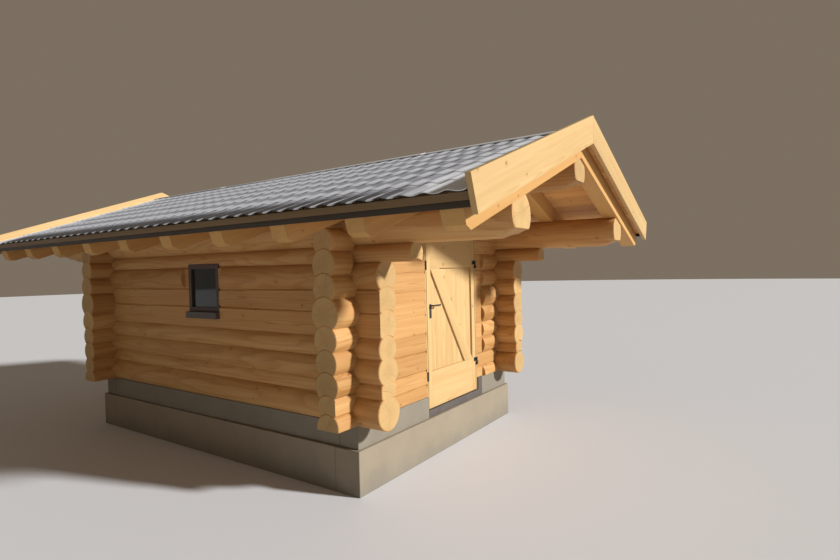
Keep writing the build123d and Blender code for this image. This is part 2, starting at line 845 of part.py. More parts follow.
with BuildPart() as right_window_glass:
    add(glass_right)
right_window_glass.part.label = "right_window_glass"
export_step(right_window_glass.part, "parts/right_window_glass.step")

sill_x = (-wall_half_width - sill_reach, frame_x[1])
sill_left = block(sill_x, frame_y, (window_bottom, frame_z[0]))
sill_right = mirrored(sill_left)
with BuildPart() as window_sills:
    add([sill_left, sill_right])
window_sills.part.label = "window_sills"
export_step(window_sills.part, "parts/window_sills.step")
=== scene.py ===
"""Dresses the packed frame of a round-log hut: peeled logs, sawn boards, tile-profile roofing,
concrete, ironwork and windows, with a pale floor, soft light and a camera."""

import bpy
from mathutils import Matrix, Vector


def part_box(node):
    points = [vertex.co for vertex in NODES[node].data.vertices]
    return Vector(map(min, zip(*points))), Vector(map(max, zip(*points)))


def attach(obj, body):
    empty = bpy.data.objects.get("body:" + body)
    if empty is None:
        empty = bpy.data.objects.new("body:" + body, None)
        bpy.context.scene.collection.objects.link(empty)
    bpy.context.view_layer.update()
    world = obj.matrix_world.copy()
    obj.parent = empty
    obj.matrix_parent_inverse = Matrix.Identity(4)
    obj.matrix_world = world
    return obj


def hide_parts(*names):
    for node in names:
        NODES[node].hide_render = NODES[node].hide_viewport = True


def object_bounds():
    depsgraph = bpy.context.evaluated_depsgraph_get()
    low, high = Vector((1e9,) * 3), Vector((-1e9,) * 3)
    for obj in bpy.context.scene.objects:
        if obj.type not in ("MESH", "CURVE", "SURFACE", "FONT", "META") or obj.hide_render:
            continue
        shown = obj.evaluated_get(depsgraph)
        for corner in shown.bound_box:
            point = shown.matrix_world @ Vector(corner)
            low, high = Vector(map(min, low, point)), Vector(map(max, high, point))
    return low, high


bl_info = {
    "name": "Round-Log Hut",
    "version": (1, 0, 0),
    "blender": (4, 5, 0),
    "location": "3D View > Sidebar > Log Hut",
    "description": "Builds the visible surfaces of a round-log hut around its frame",
    "category": "Add Mesh",
}

import math
from functools import partialmethod

import bmesh
import bpy
import numpy as np
from bpy.props import FloatProperty, FloatVectorProperty, IntProperty, PointerProperty
from mathutils import Matrix, Vector

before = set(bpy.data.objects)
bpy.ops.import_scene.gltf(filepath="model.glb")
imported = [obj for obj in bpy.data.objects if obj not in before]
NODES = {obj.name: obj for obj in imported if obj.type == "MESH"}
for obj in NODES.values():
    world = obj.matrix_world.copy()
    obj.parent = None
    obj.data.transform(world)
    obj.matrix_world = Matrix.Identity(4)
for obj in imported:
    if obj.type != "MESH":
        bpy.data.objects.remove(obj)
CAD_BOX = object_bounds()
X, Y, Z = np.eye(3)


# Reading the frame

def solids(node):
    """The corner points of each separate solid of a node."""
    bm = bmesh.new()
    bm.from_mesh(NODES[node].data)
    bmesh.ops.remove_doubles(bm, verts=bm.verts, dist=1e-5)
    bm.verts.index_update()
    seen, found = set(), []
    for start in bm.verts:
        if start in seen:
            continue
        seen.add(start)
        queue, group = [start], []
        while queue:
            vert = queue.pop()
            group.append(vert.co[:])
            for edge in vert.link_edges:
                other = edge.other_vert(vert)
                if other not in seen:
                    seen.add(other)
                    queue.append(other)
        found.append(np.array(group))
    bm.free()
    return found


def roof_lines():
    """The roof's pitch and the height of its apex, at the underside of the rafters."""
    boards = solids("right_roof_boards")[0]
    top, tail = boards[boards[:, 2].argmax()], boards[boards[:, 0].argmax()]
    pitch = math.atan2(top[2] - tail[2], tail[0] - top[0])
    rafter = solids("right_rafters")[0]
    foot = rafter[rafter[:, 2].argmin()]
    return pitch, foot[2] + foot[0] * math.tan(pitch)


PITCH, APEX = roof_lines()
DOWN = np.array((math.cos(PITCH), 0, -math.sin(PITCH)))
UP = np.array((math.sin(PITCH), 0, math.cos(PITCH)))


def roof_span(node):
    """A roof node's runs down the slope and its heights above the underside of the rafters."""
    points = np.concatenate(solids(node))
    points[:, 0] = abs(points[:, 0])
    points[:, 2] -= APEX
    run, height = points @ DOWN, points @ UP
    return run.min(), run.max(), height.min(), height.max()


# Settings

def length(name, default, text):
    return FloatProperty(name=name, default=default, description=text, unit="LENGTH", precision=4)


def share_of(name, default, text):
    return FloatProperty(name=name, default=default, description=text, subtype="FACTOR", min=0,
                         max=1)


def colour(name, default, text):
    return FloatVectorProperty(name=name, default=default, description=text, subtype="COLOR",
                               size=3, min=0, max=1)


def strength(name, default, text):
    return FloatProperty(name=name, default=default, description=text, min=0)


def seed_choice(default):
    return IntProperty(name="Seed", default=default, min=0,
                       description="Which chance unevenness is made")


class HutLogSettings(bpy.types.PropertyGroup):
    """Sizes and colours of the peeled round logs."""

    uneven: length("Unevenness", 0.0035, "How far a peeled log strays from a true cylinder")
    chamfer: length("End chamfer", 0.012, "Rounding of the sawn rim of each log end")
    stagger: length("End stagger", 0.009, "How much the log ends differ in reach")
    station: length("Station spacing", 0.075, "Distance between the rings of points along a log")
    facets: IntProperty(name="Facets", default=48, description="Points round a log", min=12, max=96)
    pale: colour("Pale wood", (0.54, 0.315, 0.118), "Early wood of the peeled surface")
    dark: colour("Dark wood", (0.40, 0.175, 0.045), "Late wood and fibre streaks")
    end_pale: colour("Pale end grain", (0.53, 0.35, 0.15), "Early wood of the sawn ends")
    end_dark: colour("Dark end grain", (0.40, 0.24, 0.09), "Late wood of the sawn ends")
    ring: length("Ring width", 0.0045, "Growth rings along the peeled surface")
    end_ring: length("End ring width", 0.0055, "Growth rings on the sawn ends")
    knots: share_of("Knots", 0.34, "Share of the places for knots that hold one")
    checks: share_of("Checks", 0.4, "Strength of the drying checks")
    cracks: share_of("Cracks", 0.28, "Strength of the cracks in the sawn ends")


class HutTimberSettings(bpy.types.PropertyGroup):
    """Sizes and colours of the sawn boards and rafters."""

    board_width: length("Board width", 0.121, "Cover width of the roof boards")
    door_board_width: length("Door board width", 0.116, "Cover width of the door's upright boards")
    edge: length("Edge rounding", 0.003, "Rounding of every sawn edge")
    pale: colour("Pale wood", (0.55, 0.38, 0.17), "Early wood of the boards")
    dark: colour("Dark wood", (0.44, 0.25, 0.085), "Late wood and fibre streaks")
    knot: colour("Knot", (0.22, 0.09, 0.03), "Heart and rim of the knots")
    ring: length("Ring width", 0.0042, "Growth rings of the boards")
    knots: share_of("Knots", 0.3, "Share of the places for knots that hold one")


class HutRoofSettings(bpy.types.PropertyGroup):
    """Sizes and colours of the tile-profile covering."""

    pitch: length("Wave pitch", 0.1625, "Distance between two crests")
    wave: length("Wave height", 0.013, "Height of a crest above the trough")
    course: length("Course", 0.35, "Length of one row of tile shapes up the slope")
    step: length("Step", 0.008, "Height of the step between two rows")
    coat: colour("Coating", (0.035, 0.038, 0.045), "Dark coated sheet")
    snow: colour("Snow dust", (0.64, 0.67, 0.74), "Thin frozen snow on the sheet")
    # This colour is thinner dust and also painted shade cast by each step.
    thin_dust_and_step_shade: colour("Swept snow", (0.13, 0.14, 0.17), "Thin dust in the band below each step")
    snow_cover: share_of("Snow cover", 0.9, "Share of the sheet under snow dust")


class HutStageSettings(bpy.types.PropertyGroup):
    """Floor, light and camera."""

    floor: colour("Floor", (0.66, 0.67, 0.70), "Plain pale floor")
    sky: colour("Sky", (1.0, 0.80, 0.60), "Even light from all round")
    sky_strength: strength("Sky strength", 0.20, "Strength of the even light")
    key: colour("Key light", (1.0, 0.99, 0.97), "Low light from the front right")
    key_strength: strength("Key strength", 5.2, "Strength of the key light")
    key_softness: FloatProperty(name="Key softness", default=math.radians(5), subtype="ANGLE",
                                description="Apparent size of the key light")


# Building meshes

def put(name, data):
    made = bpy.data.objects.new(name, data)
    bpy.context.scene.collection.objects.link(made)
    return made


class Heap:
    """Points and faces of one piece, with its wood coordinates.

    grain is a place in the tree: along the pith, and across it from the pith. lie is a place on
    the surface: along the piece, across it, and a number of its own for each log or board."""

    def __init__(self):
        self.points, self.faces, self.slots = [], [], []
        self.grain, self.lie, self.tone = [], [], []
        self.count = 0

    def add(self, points, faces, grain, lie, slots, tone):
        self.points.append(points)
        self.faces += [[self.count + i for i in face] for face in faces]
        self.grain.append(grain)
        self.lie.append(lie)
        self.slots += slots
        self.tone.append(np.full(len(points), tone))
        self.count += len(points)

    def piece(self, name, body, materials, replaced, slot, sharp=35):
        """The finished object, riding on its body."""
        mesh = bpy.data.meshes.new(name)
        mesh.from_pydata(np.concatenate(self.points).tolist(), [], self.faces)
        mesh.polygons.foreach_set("material_index", self.slots)
        mesh.polygons.foreach_set("use_smooth", [True] * len(self.faces))
        for field, domain, data in (("grain", "POINT", self.grain), ("lie", "CORNER", self.lie)):
            made = mesh.attributes.new(field, "FLOAT_VECTOR", domain)
            made.data.foreach_set("vector", np.concatenate(data).astype(np.float32).ravel())
        made = mesh.attributes.new("tone", "FLOAT", "POINT")
        made.data.foreach_set("value", np.concatenate(self.tone).astype(np.float32))
        mesh.set_sharp_from_angle(angle=math.radians(sharp))
        mesh.validate()
        for material in materials:
            mesh.materials.append(material)
        piece = put(name, mesh)
        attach(piece, body)
        if replaced:
            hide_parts(*replaced)

    def sawn(self, name, replaced, wood="sawn_board", body="hut"):
        self.piece(name, body, timber_materials(wood), replaced, "sawn_timber")


# Round logs

ON_FACE = 2e-4          # points this near to a plane lie on it
SAME_WALL = 0.05        # logs whose axes are this near to one plane lie in one wall
LEAST_FLAT = 0.05       # a shorter face isn't taken for a hewn one
JUST_OFF = 1e-4         # how far beside a break or a tip its limits are taken
BREAK_ROOM = 0.02       # no other ring of points comes this near to a break
KINK_ROOM = 0.03        # nor another point of a ring this near to a corner, as an angle
GROOVE_DEPTH = 0.005    # how far a log sinks into the one below it
WAVE_PACES = (0.6, 4.5) # the slowest and the quickest wave along a log
WAVE_SHARE = 0.45       # of the unevenness, for each wave
TAPER = 0.003           # the most that a log's radius changes over a metre
SKIN_BACK = 0.001       # how far the uneven surface stands inside the true one
BEND = (0.35, 0.28)     # where the chamfer bends and what is left of it there, as shares of it
END_RINGS = (0.72, 0.4) # rings of points on a sawn end, as shares of its rim
PITH_OFF = 0.08         # the most that the pith lies off the middle, as a share of the radius
FREE = 9                # beyond everything on the hut


def wobble(rng, along, angle, amount):
    """Smooth unevenness over a peeled log: a few waves round it and along it."""
    total = 0
    for turns in range(1, 6):
        for _ in range(3):
            pace = rng.uniform(*WAVE_PACES)
            total = total + (np.sin(pace * along + rng.uniform(0, math.tau))
                             * np.cos(turns * angle + rng.uniform(0, math.tau)) / turns ** 0.7)
    return amount * WAVE_SHARE * total


def pith_height(points, across, middle, radius):
    """The height of a round log's axis, from the points on its round face."""
    side = abs(points[:, across] - middle)
    on = side < radius
    rise = np.sqrt(radius ** 2 - side[on] ** 2)
    guesses = np.concatenate((points[on, 2] - rise, points[on, 2] + rise))
    share = [(abs(guesses - guess) < 5e-4).sum() for guess in guesses]
    return guesses[int(np.argmax(share))]


class Log:
    """One round log, as the frame has it. hewn is the place and the way of a face hewn flat."""

    def __init__(self, points, axis, hewn=None):
        low, high = points.min(0), points.max(0)
        self.axis, self.across = axis, 1 - axis
        self.start, self.end = low[axis], high[axis]
        self.middle = (low[self.across] + high[self.across]) / 2
        self.radius = (high[self.across] - low[self.across]) / 2
        self.height = pith_height(points, self.across, self.middle, self.radius)
        self.low, self.high = low[2], high[2]
        self.drop = self.groove = self.flat = None
        if hewn:
            level, way = hewn
            on = points[abs(points[:, self.across] - level) < ON_FACE][:, axis]
            if len(on) > 2 and np.ptp(on) > LEAST_FLAT:
                self.flat = (on.min(), on.max(), level, way)


def rest_on(logs):
    """Grooves each log for the one below it in the same wall."""
    for log in logs:
        below = [other for other in logs if abs(other.middle - log.middle) < SAME_WALL
                 and other.height < log.height - 0.03
                 and other.start < log.end - 0.02 and other.end > log.start + 0.02]
        if below:
            under = max(below, key=lambda other: other.height)
            log.drop, log.groove = log.height - under.height, under.radius - GROOVE_DEPTH


def log_stations(log, breaks, trims):
    """The rings of points along a log: where each lies, where its limits are taken, and how far
    its rim is cut back."""
    own = bpy.context.scene.hut_logs
    start, end = log.start + trims[0], log.end - trims[1]
    edge = min(own.chamfer, (end - start) / 6)
    breaks = list(breaks)
    if log.flat:
        breaks += [at for at in log.flat[:2] if start + 0.01 < at < end - 0.01]
    inner = np.arange(start + own.station, end - own.station * 0.6, own.station)
    stations = [(s, s, 0) for s in (start + edge, *inner, end - edge)
                if all(abs(s - at) > BREAK_ROOM for at in breaks)]
    for tip, inward in ((start, 1), (end, -1)):
        stations += [(tip, tip + inward * JUST_OFF, edge),
                     (tip + inward * edge * BEND[0], tip + inward * 10 * JUST_OFF, edge * BEND[1])]
    for at in breaks:
        stations += [(at, at - JUST_OFF, 0), (at, at + JUST_OFF, 0)]
    return sorted(stations)


def log_angles(log, seam):
    """The angles of the points round a log, one of them at each corner of its section."""
    facets = bpy.context.scene.hut_logs.facets
    kinks = []
    if log.groove:
        reach = (log.radius ** 2 - log.groove ** 2 + log.drop ** 2) / (2 * log.drop * log.radius)
        if abs(reach) < 1:
            half = math.acos(reach)
            kinks = [-math.pi / 2 - half, -math.pi / 2 + half]
    if log.flat:
        half = math.acos((log.flat[2] - log.middle) / log.radius)
        kinks += [-half, half]
    angles = list(seam + np.arange(facets) * math.tau / facets)
    for kink in kinks:
        kink = seam + (kink - seam) % math.tau
        angles = [a for a in angles if abs(a - kink) > KINK_ROOM] + [kink]
    return np.array(sorted(angles))


def log_section(rng, log, stations, angles, limits):
    """How far each point of a log lies beside and above its axis."""
    place = np.array([s for s, _, _ in stations])
    wave = wobble(rng, place[:, None], angles[None, :], bpy.context.scene.hut_logs.uneven)
    taper = rng.uniform(-TAPER, TAPER) * (place - place.mean())
    radii = log.radius + wave + taper[:, None] - SKIN_BACK
    radii -= np.array([cut for _, _, cut in stations])[:, None]
    side, rise = radii * np.cos(angles), radii * np.sin(angles)
    if log.groove:
        inside = abs(side) < log.groove
        floor = -log.drop + np.sqrt(np.where(inside, log.groove ** 2 - side ** 2, 0))
        rise = np.where(inside & (rise < floor), floor, rise)
    for row, (_, probe, _) in enumerate(stations):
        low, high = (value - log.height for value in limits(probe))
        for limit, beyond in ((low, rise[row] < low), (high, rise[row] > high)):
            if beyond.any():
                room = math.sqrt(max(log.radius ** 2 - limit ** 2, 1e-6))
                widest = max(abs(side[row][beyond]).max(), 1e-6)
                side[row][beyond] *= min(1, room / widest)
                rise[row][beyond] = limit
    if log.flat:
        first, last, level, way = log.flat
        rows = np.array([first < probe < last for _, probe, _ in stations])[:, None]
        side = np.where(rows & ((log.middle + side - level) * way > 0), level - log.middle, side)
    return place, side, rise


def add_log(heap, rng, log, limits, breaks, trims=(0, 0), seam=-math.pi / 2):
    """Adds a peeled log. limits(s) gives the lowest and highest place that it may fill at a
    station, breaks are the stations where these jump, trims what the two ends stand back."""
    stations, angles = log_stations(log, breaks, trims), log_angles(log, seam)
    place, side, rise = log_section(rng, log, stations, angles, limits)
    seed, shift = rng.uniform(0, 50), rng.uniform(0, 20)
    pith = rng.uniform(-PITH_OFF, PITH_OFF, 2) * log.radius
    along = np.broadcast_to(place[:, None], side.shape)
    order = [log.axis, log.across, 2]
    points = np.stack((along, log.middle + side, log.height + rise), 2)[..., order]
    grain = np.stack((along + shift, side - pith[0], rise - pith[1]), 2)
    count, last = len(angles), len(stations) - 1
    forward = 1 if log.axis == 1 else -1
    girth = np.append(angles - angles[0], math.tau) * log.radius
    faces, lie = [], []
    for row in range(last):
        for i in range(count):
            corners = [(row, i), (row + 1, i), (row + 1, i + 1), (row, i + 1)][::forward]
            faces.append([r * count + c % count for r, c in corners])
            lie += [(place[r] + shift, girth[c], seed) for r, c in corners]
    slots = [0] * len(faces)
    skin = np.concatenate((points, grain), 2).reshape(-1, 6)
    extra = []
    for row, turn in ((0, forward), (last, -forward)):
        rim = skin[row * count:(row + 1) * count]
        middle, base = rim.mean(0), len(skin) + len(extra)
        for share in END_RINGS:
            extra += list(middle + (rim - middle) * share)
        extra.append(middle)
        rings = [range(first, first + count) for first in (row * count, base, base + count)]
        for i in range(count):
            j = (i + 1) % count
            for outer, ring in zip(rings, rings[1:]):
                faces.append([outer[i], outer[j], ring[j], ring[i]][::turn])
            faces.append([rings[2][i], rings[2][j], base + 2 * count][::turn])
    both = np.concatenate((skin, extra))
    for face in faces[len(slots):]:
        lie += [(both[i][4], both[i][5], seed) for i in face]
        slots.append(1)
    heap.add(both[:, :3], faces, both[:, 3:], np.array(lie), slots, rng.uniform(0, 1))


# Sawn timbers

PITH_DEPTHS = (0.02, 0.11)  # how far behind its broad face the pith of a board's tree lies
FIBRE_LEAN = 0.012          # the most that its fibres lean
NARROW_LIE = 0.41           # keeps the lie of the narrow faces apart from the broad ones'


def timber(heap, rng, outline, low, high, along, face, tone=None, edge=None):
    """Adds a sawn timber: an outline in X and Z, drawn out along Y. along is the way of its
    fibres and face the way that its broad face looks."""
    edge = bpy.context.scene.hut_timbers.edge if edge is None else edge
    along, face = np.array(along, float), np.array(face, float)
    bm = bmesh.new()
    rings = [[bm.verts.new((x, level, z)) for x, z in outline] for level in (low, high)]
    bm.faces.new(rings[0])
    bm.faces.new(rings[1][::-1])
    for i in range(len(outline)):
        j = (i + 1) % len(outline)
        bm.faces.new((rings[0][i], rings[1][i], rings[1][j], rings[0][j]))
    bmesh.ops.recalc_face_normals(bm, faces=bm.faces)
    if edge:
        bmesh.ops.bevel(bm, geom=bm.edges[:], offset=edge, segments=2, profile=0.6,
                        affect="EDGES", clamp_overlap=True)
    bm.verts.index_update()
    bm.normal_update()
    points = np.array([v.co[:] for v in bm.verts])
    own_ways = np.stack((along, np.cross(face, along), face), 1)
    place = points @ own_ways
    _, width, thickness = np.ptp(place, 0)
    place -= (place.min(0) + place.max(0)) / 2
    shift, seed = rng.uniform(0, 30), rng.uniform(0, 50)
    heart = rng.uniform(-0.5, 0.5) * width, -rng.uniform(*PITH_DEPTHS) - thickness / 2
    lean = rng.uniform(-FIBRE_LEAN, FIBRE_LEAN, 2)
    grain = np.stack((place[:, 0] + shift, place[:, 1] - heart[0] + lean[0] * place[:, 0],
                      place[:, 2] - heart[1] + lean[1] * place[:, 0]), 1)
    faces, lie, slots = [], [], []
    for one in bm.faces:
        normal = abs(np.array(one.normal) @ own_ways)
        end = normal[0] > 0.75
        faces.append([v.index for v in one.verts])
        slots.append(int(end))
        for s, v, depth in place[faces[-1]]:
            if end:
                lie.append((v, depth, seed))
            else:
                lie.append((s + shift, v if normal[2] >= normal[1] else depth + NARROW_LIE, seed))
    bm.free()
    tone = rng.uniform(0, 1) if tone is None else tone
    heap.add(points, faces, grain, np.array(lie), slots, tone)


def turning(a, b, c):
    return (b[0] - a[0]) * (c[1] - a[1]) - (b[1] - a[1]) * (c[0] - a[0])


def outline_round(flat):
    """The corners of the convex outline round points in a plane, in order."""
    flat = np.unique(flat.round(5), axis=0)
    sides = []
    for way in (1, -1):
        side = []
        for point in flat[::way]:
            while len(side) > 1 and turning(side[-2], side[-1], point) < 2e-6:
                side.pop()
            side.append(point)
        sides += side[:-1]
    return sides


def prisms(node):
    """The outline and the extent of each solid of a node that is drawn out along Y."""
    found = [(outline_round(points[:, [0, 2]]), points[:, 1].min(), points[:, 1].max())
             for points in solids(node)]
    return sorted(found, key=lambda one: (round(one[1], 3), round(float(one[0][0][0]), 3)))


def mirrored(vector):
    return np.array(vector) * (-1, 1, 1)


SIDES = (("left", mirrored), ("right", np.array))


def turn_for(outline):
    """The turn that brings a way of the right roof to the side that an outline is on."""
    return mirrored if np.mean([x for x, _ in outline]) < 0 else np.array


def roof_outline(rim, turn):
    """An outline in X and Z, from runs down a roof and heights above it."""
    return [turn(run * DOWN + height * UP + (0, 0, APEX))[[0, 2]] for run, height in rim]


def rectangle(left, low, right, high):
    return [(left, low), (right, low), (right, high), (left, high)]


# Materials

VECTOR, COLOUR, FLOAT = "NodeSocketVector", "NodeSocketColor", "NodeSocketFloat"
SPRUCE_IN = {"Grain": VECTOR, "Lie": VECTOR, "Tone": 0.5, "Pale": COLOUR, "Dark": COLOUR,
             "Knot": COLOUR}
SPRUCE_OUT = {"Color": COLOUR, "Height": FLOAT, "Roughness": FLOAT}
# The colours of each sawn wood against those of the planed boards. The eave boards' dark tint is
# painted shade, the strips' near-black tint is painted shadow, and the warmer rafters and the
# warmer, brighter roof boards carry painted bounce light.
TINTS = {"sawn_board": (1, 1, 1), "sawn_rafter": (1.1, 0.93, 0.72), "roof_board": (1.55, 1.3, 1.1),
         "shade_painted_board": (0.34, 0.32, 0.32), "shade_painted_strip": (0.07, 0.07, 0.08)}


def rgba(value, times=1.0):
    return (*(min(1, c * times) for c in value), 1.0)


class Net:
    """A node tree under construction. Each value is a socket or a plain number."""

    def __init__(self, tree):
        self.tree = tree

    def feed(self, node, inputs):
        for key, value in inputs.items():
            socket = node.inputs[key]
            if isinstance(value, bpy.types.NodeSocket):
                self.tree.links.new(value, socket)
            else:
                socket.default_value = value

    def add(self, kind, inputs=None, **settings):
        node = self.tree.nodes.new(kind)
        for key, value in settings.items():
            setattr(node, key, value)
        self.feed(node, inputs or {})
        return node

    def grouped(self, name, inputs):
        return self.add("ShaderNodeGroup", inputs, node_tree=bpy.data.node_groups[name]).outputs

    def math(self, operation, *values, clamp=False):
        return self.add("ShaderNodeMath", dict(enumerate(values)), operation=operation,
                        use_clamp=clamp).outputs[0]

    plus = partialmethod(math, "ADD")
    minus = partialmethod(math, "SUBTRACT")
    mul = partialmethod(math, "MULTIPLY")
    mad = partialmethod(math, "MULTIPLY_ADD")
    over = partialmethod(math, "DIVIDE")
    above = partialmethod(math, "GREATER_THAN")
    most = partialmethod(math, "MAXIMUM")
    fract = partialmethod(math, "FRACT")
    abs = partialmethod(math, "ABSOLUTE")

    def vector(self, operation, inputs):
        return self.add("ShaderNodeVectorMath", inputs, operation=operation).outputs

    def length(self, x, y):
        return self.vector("LENGTH", {0: self.join(x, y)})["Value"]

    def split(self, vector):
        return self.add("ShaderNodeSeparateXYZ", {0: vector}).outputs

    def join(self, x, y, z=0.0):
        return self.add("ShaderNodeCombineXYZ", {0: x, 1: y, 2: z}).outputs[0]

    def attribute(self, field, socket="Vector"):
        return self.add("ShaderNodeAttribute", attribute_name=field).outputs[socket]

    def place(self):
        return self.add("ShaderNodeTexCoord").outputs["Object"]

    def noise(self, vector, scale, detail, rough=0.5):
        return self.add("ShaderNodeTexNoise", {"Vector": vector, "Scale": scale, "Detail": detail,
                                               "Roughness": rough}).outputs["Fac"]

    def streaks(self, along, over, own, paces, detail, rough=0.5):
        """Noise with a pace of its own along a piece and across it."""
        drawn = self.join(self.mul(along, paces[0]), self.mul(over, paces[1]), own)
        return self.noise(drawn, 1.0, detail, rough)

    def fade(self, value, low, high, start=0.0, end=1.0):
        return self.add("ShaderNodeMapRange", {"Value": value, "From Min": low, "From Max": high,
                                               "To Min": start, "To Max": end},
                        interpolation_type="SMOOTHSTEP").outputs[0]

    def fade_out(self, value, low, high):
        return self.fade(value, low, high, 1.0, 0.0)

    def band(self, value, rise, fall):
        """One between a rise and a fall, nought outside them."""
        return self.mul(self.fade(value, *rise), self.fade_out(value, *fall))

    def mix(self, share, a, b, blend="MIX"):
        return self.add("ShaderNodeMix", {0: share, 6: a, 7: b}, data_type="RGBA",
                        blend_type=blend).outputs[2]

    def bump(self, main, height, distance):
        bump = self.add("ShaderNodeBump", {"Height": height, "Distance": distance, "Strength": 1.0})
        self.feed(main, {"Normal": bump.outputs[0]})


def group(name, inputs, outputs):
    """A new shader node group with its sockets, a number among the inputs being the default of
    a float. Returns its net, its inputs and its output node."""
    tree = bpy.data.node_groups.new(name, "ShaderNodeTree")
    for title, kind in inputs.items():
        default = None if isinstance(kind, str) else kind
        socket = tree.interface.new_socket(title, in_out="INPUT",
                                           socket_type=kind if default is None else FLOAT)
        if default is not None:
            socket.default_value = default
    for title, kind in outputs.items():
        tree.interface.new_socket(title, in_out="OUTPUT", socket_type=kind)
    net = Net(tree)
    return net, net.add("NodeGroupInput").outputs, net.add("NodeGroupOutput")


def spruce_fibre_group():
    """Spruce along the fibre: growth rings, fibre streaks, knots and drying checks."""
    net, given, out = group("spruce_fibre", SPRUCE_IN | {
        "Ring Width": 0.004, "Knots": 0.3, "Checks": 0.0}, SPRUCE_OUT)
    along, over, own = net.split(given["Lie"])
    # Knots: one place for each cell, of chance strength and size
    cell_long, cell_wide = 0.34, 0.15
    largest, least, least_rimmed, rim_width = 0.0105, 0.002, 0.004, 0.003
    cells = net.join(net.mad(own, 13.7, net.over(along, cell_long)),
                     net.mad(own, 7.3, net.over(over, cell_wide)))
    voronoi = net.add("ShaderNodeTexVoronoi", {"Vector": cells, "Scale": 1.0, "Randomness": 0.8},
                      voronoi_dimensions="2D").outputs
    offset = net.split(net.vector("SUBTRACT", {0: cells, 1: voronoi["Position"]})[0])
    sideways = net.mul(offset[1], cell_wide)
    wavy = net.noise(net.join(along, over, own), 90.0, 1.0)
    distance = net.plus(net.length(net.mul(offset[0], cell_long * 0.8), sideways),
                        net.mad(wavy, 0.004, -0.002))
    chance = net.split(voronoi["Color"])[0]
    strong = net.over(net.minus(given["Knots"], chance), given["Knots"], clamp=True)
    size = net.mul(net.math("POWER", strong, 0.5), largest)
    seen = net.above(size, least)
    heart = net.fade_out(distance, net.minus(size, 0.0015), net.plus(size, 0.0005))
    heart = net.mul(heart, seen)
    rim = net.fade_out(net.abs(net.minus(distance, size)), 0.0, rim_width)
    rim = net.mul(rim, net.above(size, least_rimmed))
    halo = net.mul(net.fade_out(distance, net.mul(size, 0.4), net.mul(size, 4.2)), seen)
    # Fibres and growth rings, bent round the knots
    bent = net.plus(over, net.mul(net.mul(sideways, halo), -0.8))
    streak = net.streaks(along, bent, own, (1.3, 46.0), 4.0, 0.62)
    broad = net.streaks(along, bent, net.plus(own, 9.0), (0.55, 7.0), 2.0)
    fine = net.streaks(along, bent, own, (14.0, 520.0), 2.0, 0.6)
    wander = net.streaks(along, over, own, (0.9, 5.0), 1.0)
    tree = net.split(given["Grain"])
    ring = net.mad(wander, 0.016, net.mad(halo, 0.012, net.length(tree[1], tree[2])))
    late = net.band(net.fract(net.over(ring, given["Ring Width"])), (0.35, 0.93), (0.93, 1.0))
    share = net.mad(late, 0.42, net.mad(streak, 0.9, -0.32))
    share = net.mad(broad, 0.8, net.minus(share, 0.36))
    share = net.mad(fine, 0.14, share, clamp=True)
    wood = net.mix(share, given["Pale"], given["Dark"])
    shade = net.join(net.mad(given["Tone"], 0.26, 0.86), net.mad(given["Tone"], 0.32, 0.83),
                     net.mad(given["Tone"], 0.42, 0.78))
    wood = net.mix(1.0, wood, shade, "MULTIPLY")
    wood = net.mix(net.mul(halo, 0.30), wood, given["Dark"])
    wood = net.mix(net.mul(heart, 0.62), wood, given["Knot"])
    wood = net.mix(net.mul(rim, 0.55), wood, given["Knot"])
    # Drying checks: thin lines where a slow noise crosses its middle
    widest, least_open = 0.010, 0.0015
    level = net.streaks(along, over, net.plus(own, 3.0), (0.75, 11.0), 1.0, 0.4)
    where = net.streaks(along, over, net.plus(own, 21.0), (1.9, 4.0), 0.0)
    open_up = net.fade(where, 0.52, 0.66, 0.0, widest)
    check = net.fade_out(net.abs(net.minus(level, 0.5)), net.mul(open_up, 0.3),
                         net.most(open_up, 0.0002))
    check = net.mul(net.mul(check, given["Checks"]), net.above(open_up, least_open))
    wood = net.mix(net.mul(check, 0.85), wood, given["Knot"])
    height = net.mad(late, 0.2, net.mad(fine, 0.25, net.mul(streak, 0.5)))
    height = net.mad(check, -2.5, net.mad(heart, 0.5, height))
    rough = net.mad(late, -0.1, net.mad(streak, 0.15, 0.58))
    net.feed(out, {"Color": wood, "Height": height, "Roughness": rough})


